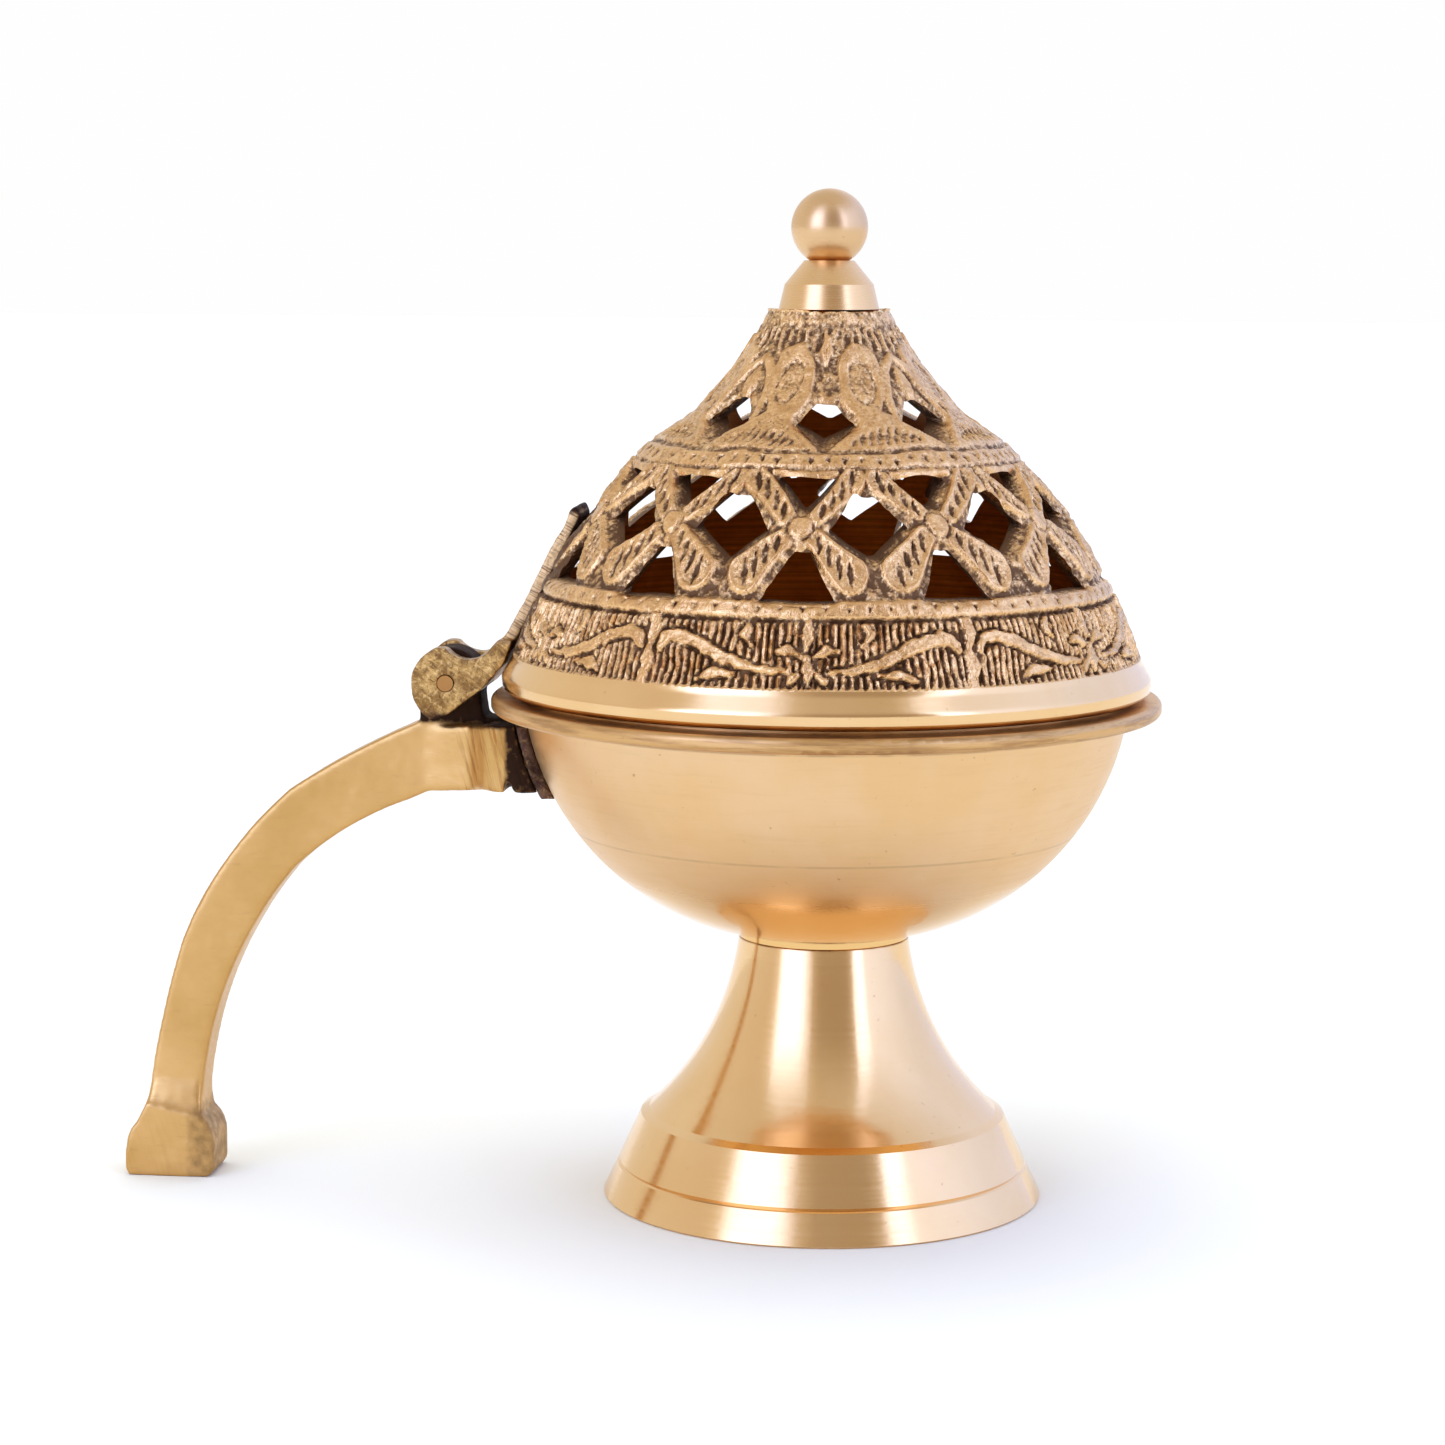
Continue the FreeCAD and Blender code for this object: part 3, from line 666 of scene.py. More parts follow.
def frieze(turn, r, z):
    """Upright ribs behind an S-shaped vine, with a stem or a flower where its ends meet."""
    x, _ = repeat(turn, r, FRIEZE_REPEATS, FRIEZE_TURN)
    out = np.abs(x)
    vine = [(3.4, 85.0, 0.3), (7.5, 85.3, 0.6), (11.5, 86.5, 0.85), (15.5, 88.4, 0.95)]
    vine += [(18.6, 89.3, 0.9), (20.8, 89.0, 0.8), (21.8, 87.6, 0.55)]
    leaf = [(10.2, 84.4, 0.2), (13.2, 84.5, 0.85), (15.6, 83.6, 0.25)]
    comma = [(8.2, 91.0, 0.45), (9.0, 89.8, 0.65), (7.8, 88.4, 0.25)]
    bud = [(0.0, 88.0, 0.4), (0.0, 89.6, 0.95), (0.0, 91.2, 0.6)]
    sepal = [(1.0, 87.0, 0.3), (2.7, 87.9, 0.75), (4.3, 87.6, 0.25)]
    heart = [(0.0, 86.8, 0.5), (0.0, 85.2, 0.95), (0.0, 83.4, 0.45)]
    side = [(1.3, 84.6, 0.35), (2.5, 83.7, 0.6)]
    motif = np.full(x.shape, FAR)
    for path in (vine, leaf, comma, bud, sepal, heart, side):
        motif = np.minimum(motif, ribbon_distance(out, z, path))
    x, _ = repeat(turn, r, FRIEZE_REPEATS, FRIEZE_TURN + 180 / FRIEZE_REPEATS)
    stem = [(0.0, 91.6, 0.9), (0.3, 89.8, 0.95), (-0.2, 87.7, 0.45), (0.1, 85.6, 1.15)]
    stem.append((-0.2, 82.8, 0.7))
    motif = np.minimum(motif, ribbon_distance(x, z, stem))
    sway = 0.3 * lumps(np.stack([turn, z, z], -1), 2.5, 9)
    rib, number = repeat(turn + sway, r, FRIEZE_RIBS, 0.4)
    half_width = 0.31 + 0.06 * np.sin(number * 1.7)
    ribs = raised(np.abs(rib) - half_width, -0.08 - 0.1 * np.sin(number * 2.9) ** 2, 0.4)
    inside = smooth((motif - 0.15) / 0.35) * smooth((FRIEZE_TOP - 0.1 - z) / 0.5)
    motif = motif + 0.28 * lumps(np.stack([turn * 0.8, z, z], -1), 1.1, 14)
    back = GROUND + (ribs - GROUND) * inside
    vein = groove(motif + 0.75, 0.16, 0.16)
    return np.maximum(back, raised(motif, 0.0) + vein)


def punched_band(turn, r, z, low, high, count):
    """A flat band between two scored lines, with a row of triangular punch marks."""
    x, number = repeat(turn, r, count, 0)
    middle = (low + high) / 2 + 0.15 * np.sin(number * 2.3)
    mark = outline_distance(x, z - middle, [(-0.45, 0.35), (0.0, -0.55), (0.45, 0.35)])
    flat = raised(np.abs(z - (low + high) / 2) - (high - low) / 2, -0.08, 0.3)
    return np.maximum(flat, BAND_GROUND) - 0.5 * smooth(0.5 - mark / 0.25)


def cuts(along, across, first, pitch, count, length, lean, depth):
    """A row of slanting chisel cuts, each narrow at its ends."""
    slanted = along - across * lean
    number = np.clip(np.round((slanted - first) / pitch), 0, count - 1)
    offset = slanted - first - number * pitch
    half = 0.72 * (1 - np.abs(across) / length)
    return -depth * smooth((half - np.abs(offset)) / 0.45 + 0.2)


def petal(x, z, start, end, start_half, end_half, count, lean):
    """A flat leaf of the lattice with a row of chisel cuts."""
    gap = ribbon_distance(x, z, [(*start, start_half), (*end, end_half)])
    ex, ez = end[0] - start[0], end[1] - start[1]
    length = math.hypot(ex, ez)
    along = ((x - start[0]) * ex + (z - start[1]) * ez) / length
    across = ((x - start[0]) * ez - (z - start[1]) * ex) / length
    reach = 0.68 * (start_half + (end_half - start_half) * np.clip(along / length, 0, 1)) + 0.1
    pitch = (length + end_half * 0.45) / count
    marks = cuts(along, across, pitch * 0.4, pitch, count, reach, lean, 0.65)
    field = -0.22 * smooth((-gap - 0.5) / 0.35)
    return raised(gap, 0.0, 0.7) + field + marks * smooth((-gap - 0.2) / 0.3)


def lattice(turn, r, z):
    """Crossed leaves that meet at bosses, under a rough eave."""
    x, number = repeat(turn, r, LATTICE, LATTICE_TURN)
    sway = 0.25 * np.sin(number * 1.9)
    low = petal(np.abs(x + sway), z, (2.3, 102.6), (7.5, 97.9), 1.5, 2.7, 4, 0.95)
    high = petal(np.abs(x - sway), z, (2.2, 105.8), (6.9, 110.2), 1.35, 1.95, 4, -0.9)
    from_boss = np.hypot(x, (z - 104.2) * 1.05)
    boss = raised(from_boss - 1.65, 0.1, 0.7)
    made = np.maximum(np.maximum(low, high), raised(from_boss - 2.5, -0.28, 0.9))
    made = np.where(from_boss < 2.05, np.minimum(made, -0.42), made)
    eave = ribbon_distance(x, z, [(-4.6, 111.3, 0.35), (0.0, 110.9, 0.6), (4.6, 111.3, 0.35)])
    made = np.maximum(made, raised(eave, 0.0, 0.8))
    return np.maximum(np.maximum(made, boss), LATTICE_GROUND)


def crown_leaves(turn, r, z):
    """Tents of hatched leaves between the upper windows, and petals and arches above them."""
    x, _ = repeat(turn, r, CROWN_REPEATS, CROWN_TURN + 180 / CROWN_REPEATS)
    out = np.abs(x)
    tent_line = [(-1, 114.4), (9.6, 114.4), (5.6, 116.9), (0.9, 119.5), (-1, 119.5)]
    lens_line = [(-1, 114.4), (8.2, 114.5), (5.4, 116.1), (2.4, 117.5), (-1, 118.1)]
    tent = outline_distance(out, z, tent_line)
    lens = outline_distance(out, z, lens_line)
    hatch = cuts(x, z - 115.9, -5.2, 1.3, 9, 1.5, 0.55, 0.5)
    scored_edge = 0.3 * smooth(0.6 - np.abs(lens) / 0.3)
    made = raised(tent, -0.05) - scored_edge + hatch * smooth((-lens - 0.3) / 0.3)
    x, _ = repeat(turn, r, CROWN_REPEATS / 2, CROWN_TURN)
    out = np.abs(x)
    rim = [(6.9, 117.2, 0.6), (6.5, 119.7, 2.2), (5.7, 122.6, 3.7), (4.9, 125.3, 3.3)]
    rim.append((4.2, 127.2, 1.7))
    edge = ribbon_distance(out, z, rim)
    lean = out - 5.5 + 0.3 * (z - 123.3)
    core = np.hypot(lean / 1.8, (z - 123.3) / 2.9) * 1.8 - 1.8
    veins = 0.22 * smooth(0.5 - np.abs(np.abs(lean - 0.3) - 0.55) / 0.3)
    folded = -0.95 * smooth(0.5 - np.abs(core) / 0.75) - (0.25 - veins) * smooth(-core / 0.4)
    made = np.maximum(made, raised(edge, 0.0, 0.7) + folded * (edge < -0.3))
    bud = ribbon_distance(x, z, [(0.0, 126.0, 0.3), (0.0, 127.8, 1.05), (0.0, 129.6, 0.5)])
    made = np.maximum(made, raised(bud, 0.05) - 0.45 * smooth(0.5 - np.abs(x) / 0.35) * (bud < -0.3))
    x, _ = repeat(turn, r, CROWN_REPEATS / 2, CROWN_TURN + 360 / CROWN_REPEATS)
    out = np.abs(x)
    arch_line = [(5.2, 118.6, 0.5), (4.2, 121.8, 0.75), (2.2, 125.2, 0.7), (0.0, 127.0, 0.5)]
    arch = ribbon_distance(out, z, arch_line)
    under = ribbon_distance(x, z, [(0.0, 121.2, 0.7), (0.0, 123.2, 1.3), (0.0, 125.4, 0.4)])
    creased = raised(under, -0.12) - 0.3 * smooth(0.5 - np.abs(x) / 0.3) * (under < -0.3)
    made = np.maximum(made, np.maximum(raised(arch, 0.0), creased))
    return made * CROWN_DEPTH


def neck_ribs(turn, r, z):
    """Short uneven ribs round the neck, lost here and there."""
    points = np.stack([turn * 0.2, z, z], -1)
    x, number = repeat(turn + 1.2 * lumps(points, 2.0, 12), r, NECK_RIBS, 1.0)
    rib = raised(np.abs(x) - 0.3, -0.15 - 0.3 * np.sin(number * 2.1) ** 2, 0.45)
    shown = smooth((z - 127.6) / 0.8) * smooth((131.3 - z) / 0.8)
    shown = shown * smooth(0.75 + lumps(points, 1.5, 13))
    return (-0.6 + (rib + 0.6) * shown) * CROWN_DEPTH


def crown(turn, r, z):
    """Everything above the upper punched band, up to the plain lip under the finial."""
    made = np.maximum(crown_leaves(turn, r, z), neck_ribs(turn, r, z))
    lip = -0.3 + 0.15 * lumps(np.stack([turn, z * 8, z], -1), 9.0, 7)
    return made + (lip - made) * smooth((z - LIP_LOW) / 0.8)


def relief(turn, r, z):
    """Height of the lid's cast pattern from its turned profile, in millimetres."""
    east, up = warp(turn, r, z)
    bent, tall = turn + np.degrees(east / r), z + up * smooth((z - WINDOWS_LOW) / 4)
    zones = [
        (FRIEZE_LOW, FRIEZE_TOP, frieze),
        (FRIEZE_TOP, LOW_BAND_TOP, lambda t, q, h: punched_band(t, q, h, 92.2, 94.3, LOW_PUNCHES)),
        (LOW_BAND_TOP, LATTICE_TOP, lattice),
        (LATTICE_TOP, HIGH_BAND_TOP, lambda t, q, h: punched_band(t, q, h, 111.9, 113.9, HIGH_PUNCHES)),
        (HIGH_BAND_TOP, CROWN[1], crown),
    ]
    high = np.zeros(z.shape)
    for low, top, shape in zones:
        here = (tall > low) & (tall <= top)
        high[here] = shape(bent[here], r[here], tall[here])
    return high


def lid_heights(skin, turn, along):
    """Height of the relief and how rubbed it is, with painted shade on the dome behind the strap, and a
    seat for the strap.
    """
    r, z = skin.profile(along)
    high = np.zeros(z.shape)
    cast = (z > FRIEZE_LOW + 0.01) & (r > CROWN[0] - 1.5)
    high[cast] = relief(turn[cast], r[cast], z[cast])
    points = skin.points(turn, along)
    grain = sum(size * lumps(points, wide, seed) for size, wide, seed in LID_GRAIN)
    low = smooth((-0.25 - high) / 0.4)
    high += np.where(cast, grain * (0.8 + 1.2 * low), 0.0)
    edge = in_window(skin, turn, along)
    tone = 1 + high / 0.9 + 0.5 * smooth(1 + edge / 0.9)
    high -= np.where(cast, 0.45 * smooth(1 + edge / 0.8), 0.0)
    x, y, _ = np.moveaxis(points, -1, 0)
    behind_strap = (x < 0) & (z < STRAP_TOP_Z)
    # Painted shade on the dome behind the strap
    tone -= 1.5 * behind_strap * smooth((STRAP_SHADE - np.abs(y)) / 5)
    seat = cast & behind_strap & (np.abs(y) < STRAP_HALF + 0.2)
    return np.where(seat, np.minimum(high, -0.35), high), np.where(cast, tone, 1.0)


def cut_grid(skin, turns, alongs, shrink=0.0):
    """A net over a skin with its windows cut out, as turns, alongs, faces and the uncut grid's shape.

    Places near a window's edge are first moved onto it, so that few faces are cut across.
    """
    turn, along = (a.copy() for a in np.meshgrid(turns, alongs))
    inside = in_window(skin, turn, along, shrink)
    step = alongs[1] - alongs[0]
    near = np.abs(inside) < NEAR_EDGE * step
    most = LARGEST_MOVE * step
    t, a = turn[near], along[near]
    r, _ = skin.profile(a)
    scale = np.radians(1) * r
    for _ in range(2):
        here = in_window(skin, t, a, shrink)
        by_turn = (in_window(skin, t + NUDGE / scale, a, shrink) - here) / NUDGE
        by_along = (in_window(skin, t, a + NUDGE, shrink) - here) / NUDGE
        size = np.maximum(by_turn**2 + by_along**2, 0.2)
        t = t - np.clip(here * by_turn / size, -most, most) / scale
        a = a - np.clip(here * by_along / size, -most, most)
    turn[near], along[near], inside[near] = t, a, 0.0
    rows, columns = turn.shape
    index = np.arange(rows * columns).reshape(rows, columns)
    east = np.roll(index, -1, 1)
    corners = np.stack([index[:-1], east[:-1], east[1:], index[1:]], -1).reshape(-1, 4)
    depth = inside.ravel()[corners]
    whole = (depth.max(1) <= 0) & (depth.min(1) < 0)
    split = (depth.max(1) > 0) & (depth.min(1) < 0)
    faces = corners[whole].tolist()
    turns_out, alongs_out, depths = (grid.ravel().tolist() for grid in (turn, along, inside))
    crossing = {}

    def cross(first, second):
        key = (min(first, second), max(first, second))
        if key not in crossing:
            share = depths[key[0]] / (depths[key[0]] - depths[key[1]])
            ahead = (turns_out[key[1]] - turns_out[key[0]] + 180) % 360 - 180
            crossing[key] = len(turns_out)
            turns_out.append(turns_out[key[0]] + ahead * share)
            alongs_out.append(alongs_out[key[0]] + (alongs_out[key[1]] - alongs_out[key[0]]) * share)
        return crossing[key]

    for cell in corners[split].tolist():
        face = []
        for first, second in zip(cell, cell[1:] + cell[:1]):
            if depths[first] <= 0:
                face.append(first)
            if depths[first] * depths[second] < 0:
                face.append(cross(first, second))
        faces.append(face)
    return np.array(turns_out), np.array(alongs_out), faces, (rows, columns)


def open_loops(faces, count):
    """The closed loops of edges that only one face has."""
    edges = np.array([(a, b) for face in faces for a, b in zip(face, face[1:] + face[:1])])
    keys = np.sort(edges, axis=1)
    _, back, uses = np.unique(keys[:, 0] * count + keys[:, 1], return_inverse=True, return_counts=True)
    following = dict(edges[uses[back] == 1].tolist())
    loops = []
    while following:
        start, here = following.popitem()
        loop = [start]
        while here != start:
            loop.append(here)
            here = following.pop(here)
        loops.append(loop)
    return loops


def in_turn(loop, angles):
    """A loop's vertices in the order of their angles, with those angles."""
    order = np.argsort(angles, kind="stable")
    return [loop[i] for i in order], angles[order]


def window_ring(loop, turns, heights, middle):
    """A window's loop as it runs, from its least angle on, with angles that never fall."""
    east = np.radians((turns[loop] - middle[0] + 180) % 360 - 180) * WINDOW_RADIUS
    angles = np.arctan2(heights[loop] - middle[1], east)
    if np.unwrap(angles)[-1] < angles[0]:
        loop, angles = loop[::-1], angles[::-1]
    start = int(np.argmin(angles))
    return loop[start:] + loop[:start], np.maximum.accumulate(np.unwrap(np.roll(angles, -start)))


class Shell:
    """The sheets of one closed mesh, and the rings at their ends, which wait to be joined."""

    def __init__(self):
        self.points, self.tones, self.creases = [], [], []
        self.faces, self.indices = [], []
        self.rings = []
        self.count = 0

    def add(self, skin, net, high, tone, indices):
        """Adds a sheet and returns its windows. Its end rings go from low to high."""
        turns, alongs, faces, grid = net
        _, z = skin.profile(alongs)
        self.points.append(skin.points(turns, alongs, high))
        self.tones.append(tone)
        self.creases.append(crease(high, grid))
        windows = []
        for loop in sorted(open_loops(faces, len(turns)), key=lambda loop: float(np.mean(z[loop]))):
            if len(loop) >= LINING_COLUMNS and np.ptp(alongs[loop]) < TINY:
                ring = in_turn(loop, np.radians(turns[loop] % 360))
                self.rings.append(self.numbered(*ring))
            else:
                middle = middle_of(turns[loop], z[loop])
                ring = window_ring(loop, turns, z, middle)
                windows.append((middle, self.numbered(*ring)))
        self.faces += [[corner + self.count for corner in face] for face in faces]
        self.indices += indices
        self.count += len(turns)
        return windows

    def numbered(self, loop, angles):
        """A ring with its vertices numbered as in the whole mesh."""
        return [corner + self.count for corner in loop], angles

    def join(self, first, second, index):
        """Closes the gap between two rings."""
        made = zip_rings(*first, *second)
        self.faces += made
        self.indices += [index] * len(made)


def lid_skins():
    """The lid's outer skin, over the top and into the stud's hole, and its turned inside."""
    hole = [(CROWN_HOLE, CROWN[1]), (CROWN_HOLE, INNER_CROWN[1])]
    band = [BAND_LOW, BAND_MIDDLE, BAND_HIGH]
    dome = [(*DOME_LOW, DOME_ARC), (*DOME_KNEE, -CROWN_ARC), CROWN]
    lining = [INNER_LOW, (*INNER_BAND, INNER_ARC), (*INNER_KNEE, -INNER_CROWN_ARC), INNER_CROWN]
    return Skin(trace(band + dome + hole + [INNER_CROWN])), Skin(trace(lining))


def lid_nets(outer, inner):
    """Two nets outside, which meet at SPLIT_Z, and one inside. A row lies on the frieze's edge."""
    split = along_at(outer, SPLIT_Z)
    ledge = along_at(outer, FRIEZE_LOW)
    low_rows = np.linspace(0, split, round(split / ROW_STEP))
    low_rows[np.argmin(np.abs(low_rows - ledge))] = ledge
    high_count = round((outer.length - split) / (ROW_STEP * CROWN_STRETCH))
    high_rows = np.linspace(split + ROW_STEP, outer.length - TINY, high_count)
    inner_rows = np.linspace(0, inner.length, round(inner.length / LINING_STEP))
    low_turns, high_turns, inner_turns = (
        np.arange(count) * 360 / count for count in (COLUMNS, CROWN_COLUMNS, LINING_COLUMNS)
    )
    return (
        cut_grid(outer, low_turns, low_rows),
        cut_grid(outer, high_turns, high_rows),
        cut_grid(inner, inner_turns, inner_rows, LINING_SHRINK),
    )


def lid_casting(outside_brass, band_brass, inside_brass):
    """The pierced lid: relief outside, turned inside, and a wall round every window."""
    cast, turned, lining = 0, 1, 2
    outer, inner = lid_skins()
    low_net, high_net, inner_net = lid_nets(outer, inner)
    shell = Shell()
    windows = []
    for net in (low_net, high_net):
        turns, alongs, faces, _ = net
        r, z = outer.profile(alongs)
        plain = (z < FRIEZE_LOW + 0.02) | (r < CROWN[0] - 0.3)
        indices = [turned if all(plain[corner] for corner in face) else cast for face in faces]
        windows += shell.add(outer, net, *lid_heights(outer, turns, alongs), indices)
    turns, _, faces, _ = inner_net
    # The inside skin's tone paints shade on the window walls that join it
    flat, dark = np.zeros(len(turns)), np.full(len(turns), WINDOW_WALL_SHADE)
    inner_windows = shell.add(inner, inner_net, flat, dark, [lining] * len(faces))
    low, low_end, high_start, high_end, inner_low, inner_high = shell.rings
    shell.join(low, inner_low, turned)
    shell.join(low_end, high_start, cast)
    shell.join(high_end, inner_high, lining)
    for middle, ring in windows:
        _, inner_ring = min(inner_windows, key=lambda window: apart(middle, window[0]))
        shell.join(ring, inner_ring, cast)
    mesh = bpy.data.meshes.new("lid_casting")
    mesh.from_pydata(np.concatenate(shell.points) * MM, [], shell.faces)
    mesh.polygons.foreach_set("material_index", shell.indices)
    brasses = [outside_brass, band_brass, inside_brass]
    finished("lid_casting", mesh, brasses, "lid", "dome_lid")
    value(mesh, "relief", np.concatenate(shell.tones))
    value(mesh, "crease", np.concatenate(shell.creases))


def crease(high, shape, reach=3):
    """How far each place stands above its surroundings. Places on a cut have none."""
    grid = high[: shape[0] * shape[1]].reshape(shape)
    blurred = grid
    for _ in range(2):
        padded = np.pad(blurred, ((reach, reach), (0, 0)), mode="edge")
        blurred = sum(padded[i : i + shape[0]] for i in range(2 * reach + 1)) / (2 * reach + 1)
        blurred = sum(np.roll(blurred, i, 1) for i in range(-reach, reach + 1)) / (2 * reach + 1)
    made = np.zeros(high.shape)
    made[: grid.size] = (grid - blurred).ravel()
    return made


def along_at(skin, z):
    """Distance along a profile at which it first reaches a height."""
    first = int(np.argmax(skin.line[:, 1] > z))
    (_, low), (_, high) = skin.line[first - 1], skin.line[first]
    share = (z - low) / (high - low)
    return float(skin.along[first - 1] + share * (skin.along[first] - skin.along[first - 1]))


def middle_of(turns, heights):
    """The mean turn in degrees and the mean height of a loop."""
    angles = np.radians(turns)
    turn = math.atan2(np.sin(angles).mean(), np.cos(angles).mean())
    return math.degrees(turn), float(heights.mean())


def apart(first, second):
    """About how far apart two middles are, in millimetres."""
    turn = abs((first[0] - second[0] + 180) % 360 - 180)
    return turn * WINDOW_DEGREE + abs(first[1] - second[1])


# ---------------- cast and forged parts


def cast_from(node, name, body, material, slot_name, voxel, rounds, grain, worn, hulls=()):
    """A CAD node with the soft edges and uneven faces of a casting, darkened for sooty places and painted
    shade and filed as worn says.
    """
    raw = placed(name + "_raw", with_hulls(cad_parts[node].data.copy(), hulls))
    weld = raw.modifiers.new("weld", "WELD")
    weld.merge_threshold = TINY * MM
    remesh = raw.modifiers.new("remesh", "REMESH")
    remesh.mode = "VOXEL"
    remesh.voxel_size = voxel * MM
    relax = raw.modifiers.new("relax", "SMOOTH")
    relax.factor = 0.5
    relax.iterations = rounds
    graph = bpy.context.evaluated_depsgraph_get()
    mesh = bpy.data.meshes.new_from_object(raw.evaluated_get(graph))
    bpy.data.objects.remove(raw)
    points, normals = (read_vertices(mesh, field) for field in ("co", "normal"))
    points = points / MM
    push = sum(size * lumps(points, wide, seed) for seed, (size, wide) in enumerate(grain, start=20))
    low, high = (np.array(corner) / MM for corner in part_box(node))
    points = np.clip(points + normals * push[:, None], low, high)
    mesh.vertices.foreach_set("co", (points * MM).ravel())
    mesh.materials.clear()
    finished(name, mesh, [material], body, node)
    soot_and_shade, filed = worn(points)
    value(mesh, "soot_and_shade", soot_and_shade)
    value(mesh, "filed", filed)


def read_vertices(mesh, field):
    """A mesh's coordinates or normals, one row for each vertex."""
    numbers = np.zeros(len(mesh.vertices) * 3)
    mesh.vertices.foreach_get(field, numbers)
    return numbers.reshape(-1, 3)


def with_hulls(mesh, hulls):
    """Adds convex hulls of corners to a mesh."""
    shape = bmesh.new()
    shape.from_mesh(mesh)
    for corners in hulls:
        added = [shape.verts.new(Vector(corner) * MM) for corner in corners]
        made = bmesh.ops.convex_hull(shape, input=added)
        bmesh.ops.delete(shape, geom=made["geom_interior"], context="VERTS")
    shape.to_mesh(mesh)
    shape.free()
    return mesh


def mirrored(corners):
    """Corners (x, y, z) with their twins at -y."""
    return [(x, side * y, z) for x, y, z in corners for side in (-1, 1)]


# ---------------- the object

# Hulls that widen the handle's bar into its pad and soften the neck above its tip block
HANDLE_HULLS = [
    mirrored([
        (-61.5, 3.0, 60.6), (-61.5, 3.0, 70.2), (-54.0, 4.0, 60.9), (-54.0, 4.0, 71.2),
        (-48.0, 6.4, 61.6), (-48.0, 6.4, 71.4),
    ]),
    mirrored([
        (-54.6, 3.6, 61.4), (-54.6, 3.6, 71.0), (-50.2, 8.2, 61.8), (-50.2, 8.2, 71.4),
        (-47.2, 9.5, 61.4), (-47.2, 9.5, 71.5),
    ]),
    mirrored([(-95.2, 4.6, 8.2), (-104.6, 4.6, 9.6), (-102.9, 3.3, 15.5), (-95.8, 3.3, 15.5)]),
]

# Unevenness as (height, width of its lumps)
GRAIN_FINE = [(0.05, 0.8), (0.05, 2.5), (0.08, 7.0)]
GRAIN_BAR = [(0.02, 1.2), (0.06, 5.0), (0.12, 16.0)]


def handle_wear_and_shade(points):
    """Painted shade at the hinge lug under the ears, a sooty pad, a darkening low on the tip, and file
    marks where the bar meets the pad.
    """
    x, y, z = points.T
    # Painted shade on the hinge lug under the ears
    lug = smooth((z - 70.6) / 1.2) * smooth((x + 62.5) / 2)
    root = 0.85 * smooth((48.5 - np.hypot(x, y)) / 1.2)
    tip = 0.30 * smooth((x + 99) / 3) * smooth((13 - z) / 3)
    filed = smooth((x + 56.0) / 3) * (z < 74) + smooth((14 - z) / 8) * 0.12
    return np.maximum(np.maximum(lug, root), tip), np.clip(filed, 0, 1)


def strap_wear_and_shade(points):
    """Painted shade where the leaf stands against the dome and under the ears, a sooty end to the leaf,
    and file marks up the leaf.
    """
    x, _, z = points.T
    leaf = smooth((z - 83.0) / 3)
    off_dome = (x + 51.8) * 0.89 - (z - 80.0) * 0.45
    # Painted shade where the leaf stands against the dome, and a sooty end to the leaf
    shade_and_soot = leaf * smooth((off_dome - 3.1) / 0.5) + 0.8 * smooth((z - 102.3) / 1.5)
    # Painted shade under the ears
    under = smooth((73.6 - z) / 1.2) * 0.8
    return np.clip(np.maximum(shade_and_soot, under), 0, 1), 0.3 + 0.7 * leaf


def saddle_wear(points):
    """Soot in patches, and no file marks."""
    return 0.5 + 0.3 * lumps(points, 3.0, 31), np.zeros(len(points))


def castings():
    """The handle, the strap and the saddle."""
    filed = ground_brass("filed_brass", (0.69, 0.41, 0.155, 1), (0.58, 0.33, 0.105, 1), 0.34)
    forged_tones = ((0.31, 0.165, 0.05, 1), (0.57, 0.34, 0.115, 1))
    forged = forged_brass("forged_brass", (0.16, 0.075, 0.03, 1), forged_tones)
    sooty_tones = ((0.20, 0.11, 0.08, 1), (0.34, 0.19, 0.10, 1))
    sooty = forged_brass("sooty_brass", (0.06, 0.03, 0.025, 1), sooty_tones)
    bar = ("handle", "handle_casting", "base", filed, "satin_brass")
    cast_from(*bar, 0.4, 8, GRAIN_BAR, handle_wear_and_shade, HANDLE_HULLS)
    leaf = ("hinge_strap", "lid_strap", "lid", forged, "antique_brass")
    cast_from(*leaf, 0.25, 5, GRAIN_FINE, strap_wear_and_shade)
    plate = ("handle_saddle", "saddle_plate", "base", sooty, "dark_brass")
    cast_from(*plate, 0.3, 3, GRAIN_FINE, saddle_wear)


def dress(material, *nodes):
    """Gives CAD nodes a material."""
    for node in nodes:
        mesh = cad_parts[node].data
        mesh.materials.clear()
        mesh.materials.append(material)


def turned_parts(bright):
    """Dresses the pieces that stay as CAD makes them."""
    ball = turned_brass("ball_brass", (0.76, 0.50, 0.265, 1), (0.66, 0.41, 0.20, 1), 0.30, 0.4, 0.05)
    cone = turned_brass("cone_brass", (0.79, 0.53, 0.29, 1), (0.80, 0.50, 0.225, 1), 0.25, 0.25, 0.04)
    fastener = turned_brass("fastener_brass", (0.66, 0.42, 0.19, 1), (0.5, 0.28, 0.1, 1), 0.36)
    rivet = turned_brass("rivet_brass", (0.55, 0.29, 0.095, 1), (0.42, 0.20, 0.06, 1), 0.42)
    dress(bright, "pedestal_foot")
    dress(ball, "finial_ball")
    dress(cone, "finial_collar")
    dress(bowl_brass("satin_brass", (0.80, 0.54, 0.30, 1), (0.77, 0.49, 0.23, 1)), "bowl")
    dress(fastener, "foot_screw", "foot_washer", "foot_nut", "finial_stud", "finial_washer", "finial_nut")
    dress(rivet, "hinge_pin", "handle_rivets", "strap_rivets")


neck_seam = (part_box("pedestal_foot")[1].z / MM - 0.1, 0.3, 0.8)
polished = turned_brass(
    "polished_brass", (0.84, 0.56, 0.285, 1), (0.81, 0.52, 0.24, 1), 0.15, scores=[neck_seam]
)
turned_parts(polished)
lid_casting(antique_brass("antique_brass"), polished, smoked_brass("smoked_brass"))
castings()


# ---------------- studio


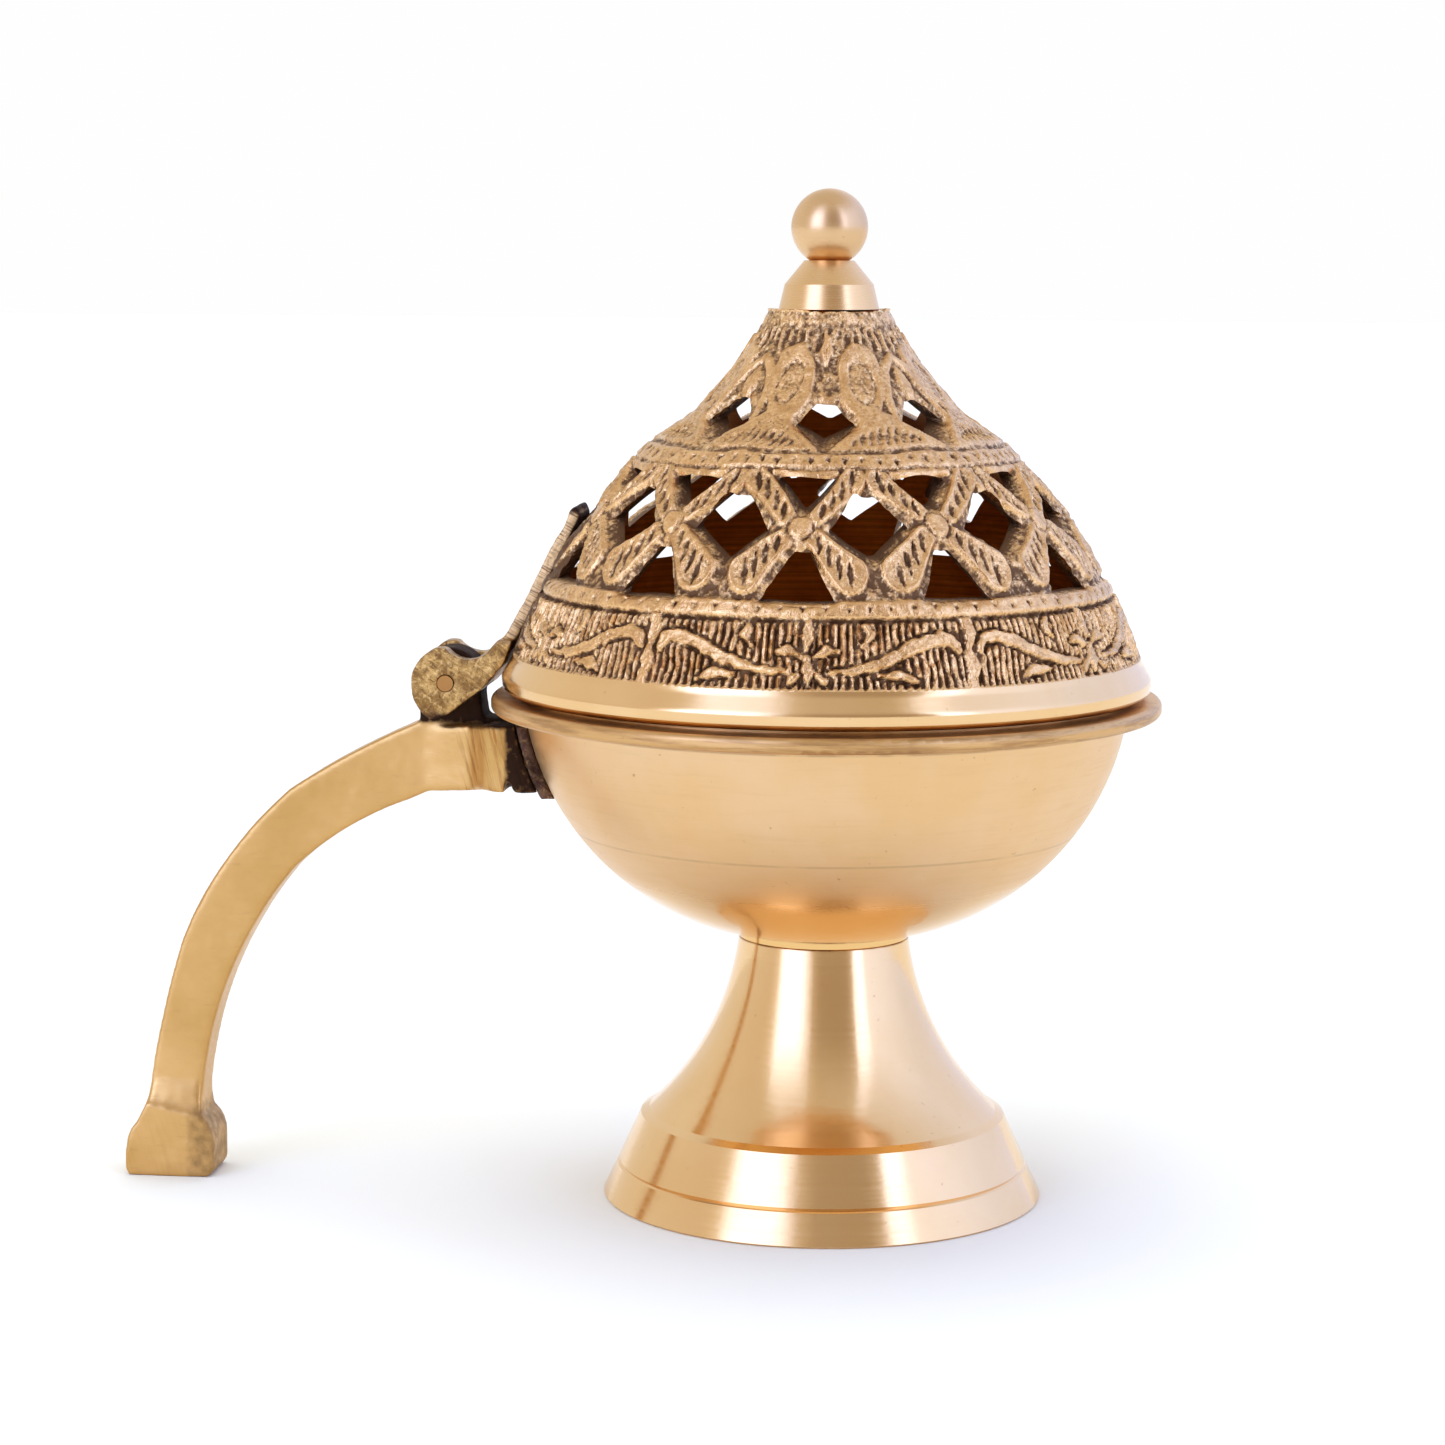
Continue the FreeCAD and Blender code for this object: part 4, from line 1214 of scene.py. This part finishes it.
def wall_colour(level, coolness):
    """A grey of that level, tinted warm below coolness 0 and cool above it."""
    warm, cool = max(-coolness, 0), max(coolness, 0)
    green = level * (1 - 0.14 * warm + 0.20 * cool)
    blue = level * (1 - 0.26 * warm + 0.95 * cool)
    return level, green, blue, 1


def studio():
    """A white backdrop for the camera, and walls and a ceiling that only light and reflections see."""
    world = bpy.data.worlds.new("studio")
    bpy.context.scene.world = world
    graph = Graph(world)
    way = graph.node("TexCoord").outputs["Generated"]
    x, y, z = graph.apart(way)
    turn = math.radians(CAMERA_TURN)
    east = graph.total(graph.product(x, math.cos(turn)), graph.product(y, math.sin(turn)))
    south = graph.math(
        "SUBTRACT", graph.product(x, math.sin(turn)), graph.product(y, math.cos(turn))
    )
    angle = graph.math("ARCTAN2", east, south)
    share = graph.total(graph.math("DIVIDE", angle, 2 * math.pi), 0.5)
    ramp = graph.node("ValToRGB", {0: share})
    stops = ramp.color_ramp.elements
    stops[0].position, stops[1].position = 0.0, 1.0
    for place, level, coolness in STUDIO_WALLS:
        at = (place + 180) / 360
        stop = stops[0] if at == 0 else stops[1] if at == 1 else stops.new(at)
        stop.color = wall_colour(level, coolness)
    light = graph.mix(graph.span(z, *CEILING_STARTS), ramp.outputs[0], CEILING)
    seen = graph.node("LightPath").outputs["Is Camera Ray"]
    colour = graph.mix(seen, light, (BACKDROP, BACKDROP, BACKDROP, 1))
    back = graph.node("Background", {"Color": colour, "Strength": 1.0})
    output = graph.node("OutputWorld")
    graph.tree.links.new(back.outputs[0], output.inputs[0])


def overhead_light():
    """A wide soft light from above and a little behind, which gives the shadow round the foot."""
    light = bpy.data.lights.new("overhead", "SUN")
    light.energy = OVERHEAD_POWER
    light.angle = math.radians(OVERHEAD_WIDTH)
    lamp = placed("overhead", light)
    lamp.rotation_mode = "QUATERNION"
    lamp.rotation_quaternion = Vector(OVERHEAD_WAY).to_track_quat("-Z", "Y")
    lamp.visible_glossy = False


def floor():
    """A plain pale floor under the object's lowest point."""
    low = CAD_BOX[0].z
    half = FLOOR_SIDE / 2
    corners = [(-half, -half, low), (half, -half, low), (half, half, low), (-half, half, low)]
    mesh = bpy.data.meshes.new("floor")
    mesh.from_pydata(corners, [], [(0, 1, 2, 3)])
    mesh.materials.append(floor_paint("floor"))
    placed("floor", mesh)


def camera():
    """The camera at the photograph's place, which was fitted to the rings of the object."""
    data = bpy.data.cameras.new("camera")
    data.sensor_width = SENSOR
    data.lens = CAMERA_FOCAL_PX * SENSOR / IMAGE_SIDE
    data.clip_start, data.clip_end = 0.01, 50
    made = placed("camera", data)
    turn = math.radians(CAMERA_TURN)
    away = CAMERA_DISTANCE * MM
    made.location = (away * math.sin(turn), -away * math.cos(turn), CAMERA_HIGH * MM)
    level = Matrix.Rotation(math.radians(CAMERA_TURN + CAMERA_PAN), 4, "Z")
    tilt = Matrix.Rotation(math.radians(90 - CAMERA_DOWN), 4, "X")
    roll = Matrix.Rotation(math.radians(CAMERA_ROLL), 4, "Z")
    made.rotation_mode = "QUATERNION"
    made.rotation_quaternion = (level @ tilt @ roll).to_quaternion()
    bpy.context.scene.camera = made


studio()
floor()
camera()
overhead_light()
bpy.context.scene.view_settings.view_transform = "Standard"
